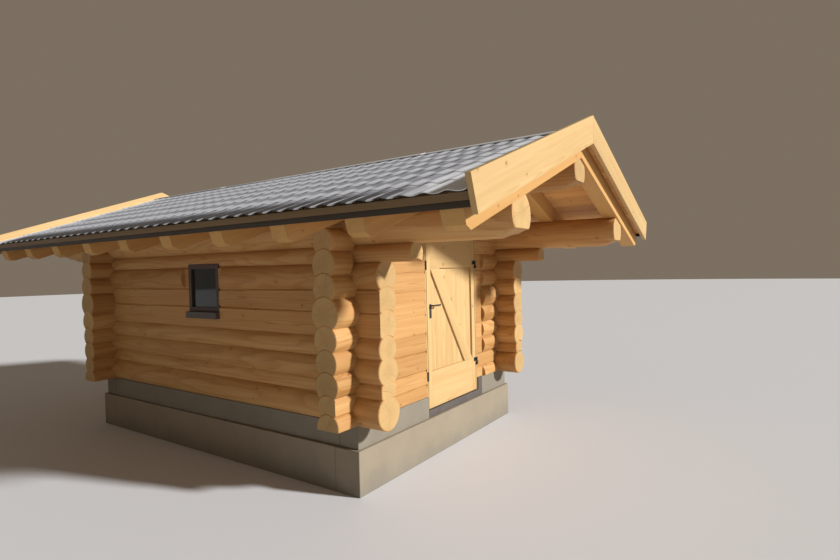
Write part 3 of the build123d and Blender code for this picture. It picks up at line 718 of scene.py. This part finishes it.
def spruce_end_group():
    """The sawn end of spruce: rings about the pith, saw marks and radial shrinkage cracks."""
    net, given, out = group("spruce_end", SPRUCE_IN | {"Ring Width": 0.005, "Cracks": 0.0},
                            SPRUCE_OUT)
    _, side, rise = net.split(given["Grain"])
    own = net.split(given["Lie"])[2]
    place = net.join(side, rise, own)
    distance = net.length(side, rise)
    soft = net.noise(place, 14.0, 2.0)
    ring = net.over(net.mad(soft, 0.012, distance), given["Ring Width"])
    late = net.band(net.fract(ring), (0.25, 0.9), (0.9, 1.0))
    wide = net.noise(net.join(net.mul(ring, 0.22), own), 1.0, 1.0)
    patch = net.noise(net.join(side, rise, net.plus(own, 5.0)), 9.0, 3.0, 0.6)
    share = net.mad(late, 0.5, net.mad(wide, 0.5, -0.30))
    share = net.mad(patch, 0.5, net.minus(share, 0.16), clamp=True)
    wood = net.mix(share, given["Pale"], given["Dark"])
    wood = net.mix(net.fade(distance, 0.02, 0.10, 0.25, 0.0), wood, given["Dark"])
    # Cracks: lines out from the pith, where a noise of the angle crosses its middle
    middle, narrow, wide_open = 0.506, 0.010, 0.026
    angle = net.math("ARCTAN2", rise, side)
    turns = net.join(net.math("COSINE", angle), net.math("SINE", angle), own)
    spread = net.mad(net.noise(place, 40.0, 1.0), 0.012, net.noise(turns, 3.4, 0.0))
    width = net.fade(distance, 0.015, 0.13, narrow, wide_open)
    crack = net.fade_out(net.abs(net.minus(spread, middle)), net.mul(width, 0.2), width)
    crack = net.mul(net.mul(crack, net.fade(net.noise(turns, 1.7, 0.0), 0.45, 0.6)),
                    given["Cracks"])
    wood = net.mix(net.mul(crack, 0.8), wood, given["Knot"])
    saw = net.streaks(side, rise, own, (300.0, 25.0), 1.0)
    shade = net.mad(given["Tone"], 0.18, 0.90)
    wood = net.mix(1.0, wood, net.join(shade, shade, shade), "MULTIPLY")
    height = net.mad(crack, -3.0, net.mad(saw, 0.4, net.mul(late, 0.3)))
    net.feed(out, {"Color": wood, "Height": height, "Roughness": net.mad(saw, 0.12, 0.72)})


def grime_group():
    """Blotches and specks over cast concrete, coated sheet and painted wood."""
    net, given, out = group("grime", {"Place": VECTOR, "Scale": 1.0},
                            {"Blotch": FLOAT, "Speck": FLOAT, "Grit": FLOAT})
    place = net.vector("SCALE", {0: given["Place"], "Scale": given["Scale"]})[0]
    pores = net.add("ShaderNodeTexVoronoi", {"Vector": place, "Scale": 34.0}).outputs
    speck = net.mul(net.fade_out(pores["Distance"], 0.05, 0.16),
                    net.above(net.split(pores["Color"])[0], 0.72))
    net.feed(out, {"Blotch": net.noise(place, 2.3, 5.0, 0.62), "Speck": speck,
                   "Grit": net.noise(place, 160.0, 3.0, 0.6)})


def shader(name):
    """A new material with its net and its main shader."""
    material = bpy.data.materials.new(name)
    material.use_nodes = True
    return material, Net(material.node_tree), material.node_tree.nodes["Principled BSDF"]


def wood_material(name, kind, pale, dark, ring, flaws, own_axis=None):
    """Spruce as seen along the fibre ("fibre") or on a sawn end ("end"). flaws are its knots and
    checks, or its cracks. own_axis names the fibre's way on a node of the frame."""
    if name in bpy.data.materials:
        return bpy.data.materials[name]
    material, net, main = shader(name)
    if own_axis:
        place = net.split(net.place())
        along, over, out = (place[i] for i in {"X": (0, 2, 1), "Z": (2, 0, 1)}[own_axis])
        wood = {"Grain": net.join(along, net.plus(over, 0.3), net.plus(out, 0.2)),
                "Lie": net.join(along, net.plus(over, out), 4.0)}
    else:
        wood = {"Grain": net.attribute("grain"), "Lie": net.attribute("lie"),
                "Tone": net.attribute("tone", "Fac")}
    knot = bpy.context.scene.hut_timbers.knot
    wood |= {"Pale": rgba(pale), "Dark": rgba(dark), "Knot": rgba(knot), "Ring Width": ring}
    made = net.grouped("spruce_" + kind, wood | flaws)
    net.feed(main, {"Base Color": made["Color"], "Roughness": made["Roughness"],
                    "Specular IOR Level": 0.35})
    net.bump(main, made["Height"], 0.0016 if kind == "fibre" else 0.002)
    return material


def log_materials():
    own = bpy.context.scene.hut_logs
    return [wood_material("peeled_log", "fibre", own.pale, own.dark, own.ring,
                          {"Knots": own.knots, "Checks": own.checks}),
            wood_material("sawn_log_end", "end", own.end_pale, own.end_dark, own.end_ring,
                          {"Cracks": own.cracks})]


def timber_materials(name):
    own = bpy.context.scene.hut_timbers
    pale, dark = ([min(1, c * t) for c, t in zip(shade, TINTS[name])]
                  for shade in (own.pale, own.dark))
    return [wood_material(name, "fibre", pale, dark, own.ring, {"Knots": own.knots}),
            wood_material(name + "_end", "end", pale, dark, own.ring, {})]


def plain_finish(name, base, worn, rough, bump, metallic=0.0, scale=1.0, stained=False):
    """A cast, painted or coated finish with blotches, specks and grit, stained at its foot."""
    material, net, main = shader(name)
    place = net.place()
    grime = net.grouped("grime", {"Place": place, "Scale": scale})
    finish = net.mix(grime["Blotch"], rgba(base), rgba(worn))
    finish = net.mix(net.mul(grime["Speck"], 0.5), finish, rgba(base, 0.35))
    if stained:
        stain = net.fade(net.mad(grime["Blotch"], 0.35, net.split(place)[2]),
                         0.12, 0.42, 0.55, 0.0)
        finish = net.mix(stain, finish, (0.16, 0.15, 0.13, 1.0))
    net.feed(main, {"Base Color": finish, "Roughness": net.mad(grime["Grit"], 0.2, rough - 0.1),
                    "Metallic": metallic})
    net.bump(main, net.mad(grime["Speck"], -0.8, grime["Grit"]), bump)
    return material


def dress(nodes, material, rounding=0.0):
    """Gives nodes of the frame their finish, and rounds their edges with modifiers."""
    for node in nodes:
        piece = NODES[node]
        piece.data.materials.clear()
        piece.data.materials.append(material)
        if rounding:
            piece.modifiers.new("weld", "WELD").merge_threshold = 1e-5
            bevel = piece.modifiers.new("rounding", "BEVEL")
            bevel.width, bevel.segments, bevel.angle_limit = rounding, 2, math.radians(40)
            bevel.harden_normals = True


# Operators

WALLS = {"left_wall_logs": 1, "right_wall_logs": 1, "front_wall_logs": 0, "back_wall_logs": 0}
GABLES = ("door_lintel_log", "front_gable_logs", "back_gable_logs")
END_REACH = (0.8, 1.3)  # free log ends lie this near to the ends of the hut, along X and Y
MID_REACH = 0.4         # gable logs that end this near to the middle end at the ridge log
TUCK = 0.02             # and reach this far into it
BOARD_GAP = 0.0006      # between two boards side by side
# The strip at the foot of the eave boards is painted near black, as the shadow under them.
STRIP_HEIGHT = 0.045    # of the dark strip at the foot of the eave boards
STRIP_SETBACK = 0.012   # of that strip behind the boards


class HUT_OT_node_groups(bpy.types.Operator):
    """Builds the shared node groups for spruce and for grime"""

    bl_idname = "hut.node_groups"
    bl_label = "Node Groups"

    def execute(self, context):
        spruce_fibre_group()
        spruce_end_group()
        grime_group()
        return {"FINISHED"}


def wall_limits(log, seat, ends, gap):
    """The lowest and highest place that a wall log may fill at a station: above its seat on the
    plinth, and clear of the window that it runs past."""
    def limits(s):
        low, high = seat if ends[0] < s < ends[1] else -FREE, FREE
        if gap and gap[0] < s < gap[1]:
            if log.height < (gap[2] + gap[3]) / 2:
                high = gap[2]
            else:
                low = gap[3]
        return low, high
    return limits


class HUT_OT_wall_logs(bpy.types.Operator):
    """Lays the peeled logs of the four walls, saddle-notched over each other"""

    bl_idname = "hut.wall_logs"
    bl_label = "Wall Logs"
    seed: seed_choice(11)

    def execute(self, context):
        rng = np.random.default_rng(self.seed)
        stagger = context.scene.hut_logs.stagger
        front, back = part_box("plinth_front"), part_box("plinth_back")
        windows = {"left_wall_logs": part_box("left_window_frame"),
                   "right_wall_logs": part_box("right_window_frame")}
        hewn = {"front_wall_logs": (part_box("door_jambs")[0].y, -1),
                "left_wall_logs": (windows["left_wall_logs"][0].x, -1),
                "right_wall_logs": (windows["right_wall_logs"][1].x, 1)}
        for name, axis in WALLS.items():
            logs = [Log(points, axis, hewn.get(name)) for points in solids(name)]
            rest_on(logs)
            ends = (front[0].y, back[1].y) if axis == 1 else (-FREE, FREE)
            heap = Heap()
            for log in sorted(logs, key=lambda one: (one.height, one.start)):
                seat = front[1].z if log.low < front[1].z + 0.05 else -FREE
                gap, breaks = None, []
                if name in windows:
                    low, high = windows[name]
                    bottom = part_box("window_sills")[0].z
                    if log.start < low.y - 0.05 and log.end > high.y + 0.05 and log.high > bottom:
                        gap, breaks = (low.y, high.y, bottom, high.z), [low.y, high.y]
                if seat > 0 and axis == 1:
                    breaks += ends
                trims = [rng.uniform(0, stagger)
                         if abs(at - CAD_BOX[end][axis]) < END_REACH[axis] else 0
                         for end, at in enumerate((log.start, log.end))]
                add_log(heap, rng, log, wall_limits(log, seat, ends, gap), breaks, trims)
            heap.piece(name.replace("_logs", "_peeled_logs"), "hut", log_materials(), [name],
                       "round_logs", sharp=22)
        return {"FINISHED"}


class HUT_OT_gable_logs(bpy.types.Operator):
    """Lays the logs of the gables, cut to the slope of the roof"""

    bl_idname = "hut.gable_logs"
    bl_label = "Gable Logs"
    seed: seed_choice(12)

    def execute(self, context):
        rng = np.random.default_rng(self.seed)
        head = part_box("door_head")[1].z
        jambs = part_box("door_jambs")
        left, right = jambs[0].x, jambs[1].x
        hewn = jambs[0].y, -1
        walls = {end: [Log(points, 0) for points in solids(end + "_wall_logs")]
                 for end in ("front", "back")}
        lintels = [Log(points, 0, hewn) for points in solids("door_lintel_log")]
        for name in GABLES:
            logs = [Log(points, 0, hewn) for points in solids(name)]
            rest_on(walls["back" if name.startswith("back") else "front"] + lintels + logs)
            door = name == "door_lintel_log"

            def limits(s):
                low = head if door and left < s < right else -FREE
                return low, APEX - abs(s) * math.tan(PITCH)

            heap = Heap()
            for log in logs:
                trims = [-TUCK if abs(at) < MID_REACH else 0 for at in (log.start, log.end)]
                add_log(heap, rng, log, limits, (left, right) if door else (), trims)
            heap.piece(name + "_peeled", "hut", log_materials(), [name], "round_logs")
        return {"FINISHED"}


class HUT_OT_roof_logs(bpy.types.Operator):
    """Lays the two eave logs and the ridge log, with snouts sloped from below"""

    bl_idname = "hut.roof_logs"
    bl_label = "Roof Logs"
    seed: seed_choice(13)

    def execute(self, context):
        rng = np.random.default_rng(self.seed)
        for name in ("left_eave_log", "right_eave_log", "ridge_log"):
            points = solids(name)[0]
            log = Log(points, 1)
            bottom = log.height - log.radius
            rise = points[abs(points[:, 1] - log.start) < 1e-4][:, 2].min()
            snout = points[abs(points[:, 2] - bottom) < 2e-3][:, 1].min() - log.start

            def limits(s):
                inward = min(s - log.start, log.end - s)
                if inward < snout:
                    return bottom + (rise - bottom) * (1 - inward / snout), FREE
                return -FREE, FREE

            heap = Heap()
            breaks = [log.start + snout * 0.5, log.start + snout,
                      log.end - snout, log.end - snout * 0.5]
            add_log(heap, rng, log, limits, breaks, seam=math.pi / 2)
            heap.piece(name + "_peeled", "hut", log_materials(), [name], "round_logs")
        return {"FINISHED"}


class HUT_OT_rafters(bpy.types.Operator):
    """Saws the rafters, whose tails show under the eaves"""

    bl_idname = "hut.rafters"
    bl_label = "Rafters"
    seed: seed_choice(21)

    def execute(self, context):
        rng = np.random.default_rng(self.seed)
        for side, turn in SIDES:
            heap = Heap()
            for outline, low, high in prisms(side + "_rafters"):
                timber(heap, rng, outline, low, high, turn(DOWN), turn(UP), edge=0.004)
            # The rafters' warmer tint is painted warm bounce light.
            heap.sawn(side + "_sawn_rafters", [side + "_rafters"], "sawn_rafter")
        return {"FINISHED"}


class HUT_OT_roof_boards(bpy.types.Operator):
    """Lays the roof boards side by side along the hut, with rounded joints below"""

    bl_idname = "hut.roof_boards"
    bl_label = "Roof Boards"
    seed: seed_choice(22)

    def execute(self, context):
        rng = np.random.default_rng(self.seed)
        for side, turn in SIDES:
            node = side + "_roof_boards"
            _, run, low, high = roof_span(node)
            front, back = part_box(node)
            first = -low * math.tan(PITCH) + 0.0005
            count = round((run - first) / context.scene.hut_timbers.board_width)
            width = (run - first) / count
            heap = Heap()
            for number in range(count):
                near, far = first + number * width, first + (number + 1) * width - BOARD_GAP
                mitre = 0 if number else (high - low) * math.tan(PITCH)
                rim = [(near, low), (far, low), (far, high), (near - mitre, high)]
                timber(heap, rng, roof_outline(rim, turn), front.y, back.y, Y, turn(UP),
                       edge=0.0035)
            # The roof boards' brighter, warmer tint is painted bounce light on the underside of the
            # eaves.
            heap.sawn(side + "_sawn_roof_boards", [node], "roof_board")
        return {"FINISHED"}


class HUT_OT_trim_boards(bpy.types.Operator):
    """Fits the barge boards on both gables, the eave boards and the battens"""

    bl_idname = "hut.trim_boards"
    bl_label = "Barge and Eave Boards"
    seed: seed_choice(23)

    def execute(self, context):
        rng = np.random.default_rng(self.seed)
        for end in ("front", "back"):
            heap = Heap()
            for outline, low, high in prisms(end + "_barge_boards"):
                timber(heap, rng, outline, low, high, turn_for(outline)(DOWN), Y,
                       tone=rng.uniform(0.6, 1))
            heap.sawn(end + "_sawn_barge_boards", [end + "_barge_boards"])
        heap = Heap()
        for outline, low, high in prisms("roof_battens"):
            timber(heap, rng, outline, low, high, Y, turn_for(outline)(UP))
        heap.sawn("sawn_roof_battens", ["roof_battens"])
        near, far, low, high = roof_span("eave_boards")
        front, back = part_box("eave_boards")
        step = low + STRIP_HEIGHT
        boards, strips = Heap(), Heap()
        for turn in (mirrored, np.array):
            for heap, rim in ((boards, rectangle(near, step, far, high)),
                              (strips, rectangle(near, low, far - STRIP_SETBACK, step))):
                timber(heap, rng, roof_outline(rim, turn), front.y, back.y, Y, turn(DOWN))
        # The eave boards' dark grey-brown tint is painted shade.
        boards.sawn("sawn_eave_boards", ["eave_boards"], "shade_painted_board")
        # The set-back strips are painted near black as the shade beneath the eave boards.
        strips.sawn("shade_painted_eave_strips", (), "shade_painted_strip")
        return {"FINISHED"}


SHEET_THICKNESS = 0.004
POINTS_A_WAVE = 12
CREST_SHARPNESS = 1.25
ROW_SHARES = (0.0, 0.04, 0.35, 0.7, 0.999)  # where the points of a tile row lie, from its foot
ROW_LIP = 0.004         # how far the foot of a tile row turns down
CREST_RISE = 0.006      # how far the crests rise above the frame's sheet
RIDGE_MARGIN = 0.002    # from each sheet to the middle of the hut
RIDGE_OVERRUN = 0.06    # how far the last row would run past the ridge
LIE_MIDDLE = 7.0        # the middle of the lie across the right sheet, and minus that of the left


def roof_metal(name):
    """Dark coated sheet with thin snow dust, which leaves the crests near the eave bare. The band
    below each step carries painted shade, and the fuller snow along the verges painted light.
    """
    own = bpy.context.scene.hut_roof
    material, net, main = shader(name)
    up, over, wave = net.split(net.attribute("lie"))
    grime = net.grouped("grime", {"Place": net.join(over, up), "Scale": 1.0})
    blotch, grit = grime["Blotch"], grime["Grit"]
    drift = net.streaks(over, up, 0.0, (3.0, 1.2), 4.0, 0.6)
    thin = net.streaks(over, up, 0.0, (26.0, 4.0), 3.0, 0.65)
    bare = net.mul(net.fade_out(net.mad(drift, 0.2, up), 0.24, 0.42),
                   net.fade(net.mad(thin, 0.3, wave), 0.25, 0.5))
    snow = net.minus(own.snow_cover, net.mad(net.fade(thin, 0.55, 0.8), 0.12, bare), clamp=True)
    # Below each step a band takes a darker colour: thinner dust, and painted shade from the step.
    thin_dust_and_step_shade = net.band(net.fract(net.over(up, own.course)), (0.42, 0.62), (0.93, 0.98))
    thin_dust_and_step_shade = net.mul(thin_dust_and_step_shade, net.mad(drift, 0.9, 0.35), clamp=True)
    # Along each verge the snow is full and 1.4 times brighter: drifted snow, and painted light
    # where the barge boards' shadow falls on the sheet.
    verge = net.abs(net.minus(net.abs(over), LIE_MIDDLE))
    verge = net.fade(net.mad(drift, 0.5, verge), 3.1, 3.6)
    snow = net.most(snow, verge)
    thin_dust_and_step_shade = net.mul(thin_dust_and_step_shade, net.minus(1.0, verge))
    metal = net.mix(net.mul(blotch, 0.5), rgba(own.coat), rgba(own.coat, 2.4))
    powder = net.mix(net.mul(blotch, 0.35), rgba(own.snow), rgba(own.snow, 0.72))
    powder = net.mix(net.mul(thin_dust_and_step_shade, 0.85), powder, rgba(own.thin_dust_and_step_shade))
    powder = net.mix(net.mul(verge, 0.8), powder, rgba(own.snow, 1.4))
    net.feed(main, {"Base Color": net.mix(net.mul(snow, 0.86), metal, powder),
                    "Roughness": net.mad(snow, 0.35, net.mad(grit, 0.12, 0.32))})
    net.bump(main, net.mad(snow, 2.0, net.mul(grit, 0.25)), 0.002)
    return material


def add_sheet(heap, top, depth, lie):
    """Adds a closed sheet below a grid of points."""
    rows, cols = top.shape[:2]
    under = rows * cols
    both = np.concatenate((top.reshape(-1, 3), depth.reshape(-1, 3)))
    faces = []
    for r in range(rows - 1):
        for c in range(cols - 1):
            a, b = r * cols + c, (r + 1) * cols + c
            faces.append([a, b, b + 1, a + 1])
            faces.append([under + i for i in (a, a + 1, b + 1, b)])
    rim = [*range(cols), *range(2 * cols - 1, under, cols),
           *range(under - 2, under - cols - 1, -1), *range(under - 2 * cols, 0, -cols)]
    for i, j in zip(rim, rim[1:] + rim[:1]):
        faces.append([i, j, under + j, under + i])
    if np.cross(top[1, 0] - top[0, 0], top[0, 1] - top[0, 0])[2] < 0:
        faces = [face[::-1] for face in faces]
    flat = lie.reshape(-1, 3)
    corner = np.concatenate([flat[np.array(face) % under] for face in faces])
    heap.add(both, faces, np.concatenate((flat, flat)), corner, [0] * len(faces), 0.5)


class HUT_OT_roof_sheets(bpy.types.Operator):
    """Presses the two roof sheets into rows of waved tile shapes"""

    bl_idname = "hut.roof_sheets"
    bl_label = "Roof Sheets"

    def execute(self, context):
        own = context.scene.hut_roof
        material = roof_metal("tile_sheet")
        for side, turn in (("left", -1), ("right", 1)):
            node = side + "_roof_sheet"
            _, run, _, high = roof_span(node)
            front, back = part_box(node)
            half, middle = (back.y - front.y) / 2, (back.y + front.y) / 2
            y = np.linspace(-half, half, int(2 * half / own.pitch * POINTS_A_WAVE) + 1)
            wave = (0.5 + 0.5 * np.cos(math.tau * y / own.pitch)) ** CREST_SHARPNESS
            runs, lifts = [], []
            for course in range(math.ceil(run / own.course)):
                foot = run - course * own.course
                head = max(foot - own.course, -RIDGE_OVERRUN)
                for share in ROW_SHARES:
                    runs.append(foot + (head - foot) * share)
                    lifts.append((1 - share) * own.step - (0 if share else ROW_LIP))
            base = high - own.wave - own.step + CREST_RISE
            height = base + np.array(lifts)[:, None] + own.wave * wave[None, :]
            reach = np.array(runs)[:, None] + 0 * height
            inside = reach * DOWN[0] + height * UP[0] < RIDGE_MARGIN
            reach = np.where(inside, (RIDGE_MARGIN - height * UP[0]) / DOWN[0], reach)

            def lay(level):
                points = reach[..., None] * DOWN + level[..., None] * UP + (0, 0, APEX)
                points[..., 1] = middle + y[None, :]
                points[..., 0] *= turn
                return points

            over = y[None, :] + LIE_MIDDLE * turn + 0 * reach
            lie = np.stack((run - reach, over, wave[None, :] + 0 * reach), 2)
            heap = Heap()
            add_sheet(heap, lay(height), lay(height - SHEET_THICKNESS), lie)
            heap.piece(side + "_tile_sheet", "hut", [material], [node], "roof_metal", sharp=50)
        return {"FINISHED"}


class HUT_OT_ridge_cap(bpy.types.Operator):
    """Folds the ridge cap over the top of the two sheets"""

    bl_idname = "hut.ridge_cap"
    bl_label = "Ridge Cap"

    def execute(self, context):
        low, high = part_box("ridge_cap")
        _, run, _, top = roof_span("ridge_cap")
        lengths, overlap, roll, lap, thickness = 4, 0.05, 0.06, 0.003, 0.003
        span = (high.y - low.y) / lengths
        crest = APEX + (top - SHEET_THICKNESS) / UP[2]
        half = [(0, 0.006), (0.018, 0.0048), (0.035, 0.0024), (0.055, 0.0004), (run - 0.006, 0.0),
                (run, -0.007)]
        profile = [(-a, lift) for a, lift in half[:0:-1]] + half
        heap = Heap()
        for number in range(lengths):
            start = low.y + number * span
            end = start + span + (overlap if number < lengths - 1 else 0)
            grid = np.array([[(a * DOWN[0], s, crest - max(abs(a), roll) * math.sin(PITCH) + lift
                               + lap * (number % 2)) for s in np.linspace(start, end, 9)]
                             for a, lift in profile])
            plain = 0 * grid[..., 1]
            lie = np.stack((plain + 0.5, grid[..., 1] + 3, plain + 0.35), 2)
            add_sheet(heap, grid, grid - (0, 0, thickness), lie)
        heap.piece("folded_ridge_cap", "hut", [bpy.data.materials["tile_sheet"]], ["ridge_cap"],
                   "roof_metal", sharp=60)
        return {"FINISHED"}


class HUT_OT_door(bpy.types.Operator):
    """Joins the door leaf: stiles, rails, upright boards and the brace"""

    bl_idname = "hut.door"
    bl_label = "Door Leaf"
    seed: seed_choice(41)

    def execute(self, context):
        rng = np.random.default_rng(self.seed)
        for node, along in (("door_stiles", Z), ("door_rails", X)):
            heap = Heap()
            for outline, low, high in prisms(node):
                timber(heap, rng, outline, low, high, along, -Y, tone=rng.uniform(0.75, 1))
            heap.sawn("planed_" + node, [node], body="door")
        low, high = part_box("door_panel")
        count = round((high.x - low.x) / context.scene.hut_timbers.door_board_width)
        width = (high.x - low.x) / count
        heap = Heap()
        for number in range(count):
            left = low.x + number * width
            outline = rectangle(left, low.z, left + width - BOARD_GAP, high.z)
            timber(heap, rng, outline, low.y, high.y, Z, -Y, tone=rng.uniform(0.8, 1), edge=0.0022)
        heap.sawn("planed_door_boards", ["door_panel"], body="door")
        outline, low, high = prisms("door_brace")[0]
        run = max((a - b for a in outline for b in outline), key=np.linalg.norm)
        lengthwise = np.insert(run / np.linalg.norm(run), 1, 0.0)
        heap = Heap()
        timber(heap, rng, outline, low, high, lengthwise, -Y, tone=0.85)
        heap.sawn("planed_door_brace", ["door_brace"], body="door")
        return {"FINISHED"}


class HUT_OT_door_frame(bpy.types.Operator):
    """Finishes the jambs and the head of the door"""

    bl_idname = "hut.door_frame"
    bl_label = "Door Frame"

    def execute(self, context):
        own = context.scene.hut_timbers
        for node, axis in (("door_jambs", "Z"), ("door_head", "X")):
            material = wood_material("planed_" + node, "fibre", own.pale, own.dark, own.ring,
                                     {"Knots": own.knots}, axis)
            dress([node], material, rounding=0.003)
        return {"FINISHED"}


class HUT_OT_masonry(bpy.types.Operator):
    """Finishes the footing, the plinth and the floor as cast concrete"""

    bl_idname = "hut.masonry"
    bl_label = "Footing, Plinth and Floor"

    def execute(self, context):
        footing = plain_finish("footing_concrete", (0.23, 0.19, 0.135), (0.33, 0.28, 0.20), 0.85,
                               0.004, stained=True)
        plinth = plain_finish("plinth_concrete", (0.17, 0.150, 0.115), (0.27, 0.240, 0.185), 0.85,
                              0.004, stained=True)
        dress(("footing_ends", "footing_sides"), footing, rounding=0.008)
        dress(("plinth_front", "plinth_back", "plinth_sides", "floor_slab"), plinth,
              rounding=0.008)
        return {"FINISHED"}


class HUT_OT_ironwork(bpy.types.Operator):
    """Finishes the handle, the keeps and the hinges"""

    bl_idname = "hut.ironwork"
    bl_label = "Ironwork"

    def execute(self, context):
        iron = plain_finish("black_iron", (0.022, 0.020, 0.019), (0.05, 0.045, 0.04), 0.5, 0.0004,
                            0.35, 6.0)
        dress(("door_handle", "door_keeps", "frame_hinges", "leaf_hinges"), iron,
              rounding=0.0012)
        return {"FINISHED"}


class HUT_OT_windows(bpy.types.Operator):
    """Finishes the window frames and panes, the sills and the threshold"""

    bl_idname = "hut.windows"
    bl_label = "Windows and Sills"

    def execute(self, context):
        dark = plain_finish("dark_stained_wood", (0.045, 0.022, 0.016), (0.085, 0.045, 0.032),
                            0.5, 0.0006, scale=4.0)
        sill = plain_finish("dark_sill", (0.060, 0.052, 0.046), (0.12, 0.10, 0.09), 0.55, 0.001,
                            scale=3.0)
        glass, net, main = shader("window_pane")
        smear = net.noise(net.place(), 3.0, 2.0)
        net.feed(main, {"Base Color": (0.10, 0.13, 0.16, 1), "Transmission Weight": 0.85,
                        "IOR": 1.45, "Roughness": net.mad(smear, 0.05, 0.01)})
        dress(("left_window_frame", "right_window_frame"), dark, rounding=0.004)
        dress(("left_window_glass", "right_window_glass"), glass)
        dress(("window_sills", "door_threshold"), sill, rounding=0.006)
        return {"FINISHED"}


FLOOR_RADIUS = 60
SUN_FROM = Vector((0.282, -0.869, 0.407))
CAMERA_PLACE = (-4.893, -4.935, 1.968)
CAMERA_TURNS = (-55.936, -1.352, -1.321)    # its yaw, pitch and roll in degrees
CAMERA_LENS = 22.477                        # in millimetres, for a picture 36 mm wide


class HUT_OT_stage(bpy.types.Operator):
    """Sets the pale floor, the soft light and the camera"""

    bl_idname = "hut.stage"
    bl_label = "Stage"

    def execute(self, context):
        own = context.scene.hut_stage
        bm = bmesh.new()
        bmesh.ops.create_circle(bm, cap_ends=True, radius=FLOOR_RADIUS, segments=96)
        mesh = bpy.data.meshes.new("floor")
        bm.to_mesh(mesh)
        bm.free()
        floor = put("floor", mesh)
        floor.location.z = -0.001
        material, net, main = shader("pale_floor")
        net.feed(main, {"Base Color": rgba(own.floor), "Roughness": 0.9, "Specular IOR Level": 0.1})
        mesh.materials.append(material)
        world = bpy.data.worlds.new("studio")
        context.scene.world = world
        world.use_nodes = True
        Net(world.node_tree).feed(world.node_tree.nodes["Background"],
                                  {"Color": rgba(own.sky), "Strength": own.sky_strength})
        sun = bpy.data.lights.new("key", "SUN")
        sun.energy, sun.color, sun.angle = own.key_strength, own.key, own.key_softness
        key = put("key", sun)
        key.rotation_mode = "QUATERNION"
        key.rotation_quaternion = SUN_FROM.to_track_quat("Z", "Y")
        eye = bpy.data.cameras.new("camera")
        eye.sensor_width, eye.lens = 36.0, CAMERA_LENS
        camera = put("camera", eye)
        yaw, pitch, roll = (math.radians(turn) for turn in CAMERA_TURNS)
        turned = (Matrix.Rotation(yaw, 4, "Z") @ Matrix.Rotation(math.pi / 2 + pitch, 4, "X")
                  @ Matrix.Rotation(roll, 4, "Z"))
        camera.matrix_world = Matrix.Translation(CAMERA_PLACE) @ turned
        context.scene.camera = camera
        context.scene.view_settings.view_transform = "Standard"
        return {"FINISHED"}


OPERATORS = (HUT_OT_node_groups, HUT_OT_stage, HUT_OT_wall_logs, HUT_OT_gable_logs,
             HUT_OT_roof_logs, HUT_OT_rafters, HUT_OT_roof_boards, HUT_OT_trim_boards,
             HUT_OT_roof_sheets, HUT_OT_ridge_cap, HUT_OT_door, HUT_OT_door_frame,
             HUT_OT_masonry, HUT_OT_ironwork, HUT_OT_windows)
SETTINGS = {"hut_logs": HutLogSettings, "hut_timbers": HutTimberSettings,
            "hut_roof": HutRoofSettings, "hut_stage": HutStageSettings}


class HUT_PT_panel(bpy.types.Panel):
    """Lists the settings and the operators of the hut."""

    bl_label = "Log Hut"
    bl_idname = "HUT_PT_panel"
    bl_space_type = "VIEW_3D"
    bl_region_type = "UI"
    bl_category = "Log Hut"

    def draw(self, context):
        for name, kind in SETTINGS.items():
            box = self.layout.box()
            box.label(text=kind.__doc__)
            for key in kind.__annotations__:
                box.prop(getattr(context.scene, name), key)
        for operator in OPERATORS:
            self.layout.operator(operator.bl_idname)


def register():
    for kind in (*SETTINGS.values(), *OPERATORS, HUT_PT_panel):
        bpy.utils.register_class(kind)
    for name, kind in SETTINGS.items():
        setattr(bpy.types.Scene, name, PointerProperty(type=kind))


def unregister():
    for name in SETTINGS:
        delattr(bpy.types.Scene, name)
    for kind in (HUT_PT_panel, *reversed(OPERATORS), *reversed(SETTINGS.values())):
        bpy.utils.unregister_class(kind)


def main():
    register()
    for operator in OPERATORS:
        getattr(bpy.ops.hut, operator.bl_idname.split(".")[1])()
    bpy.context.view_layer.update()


if __name__ == "__main__":
    main()
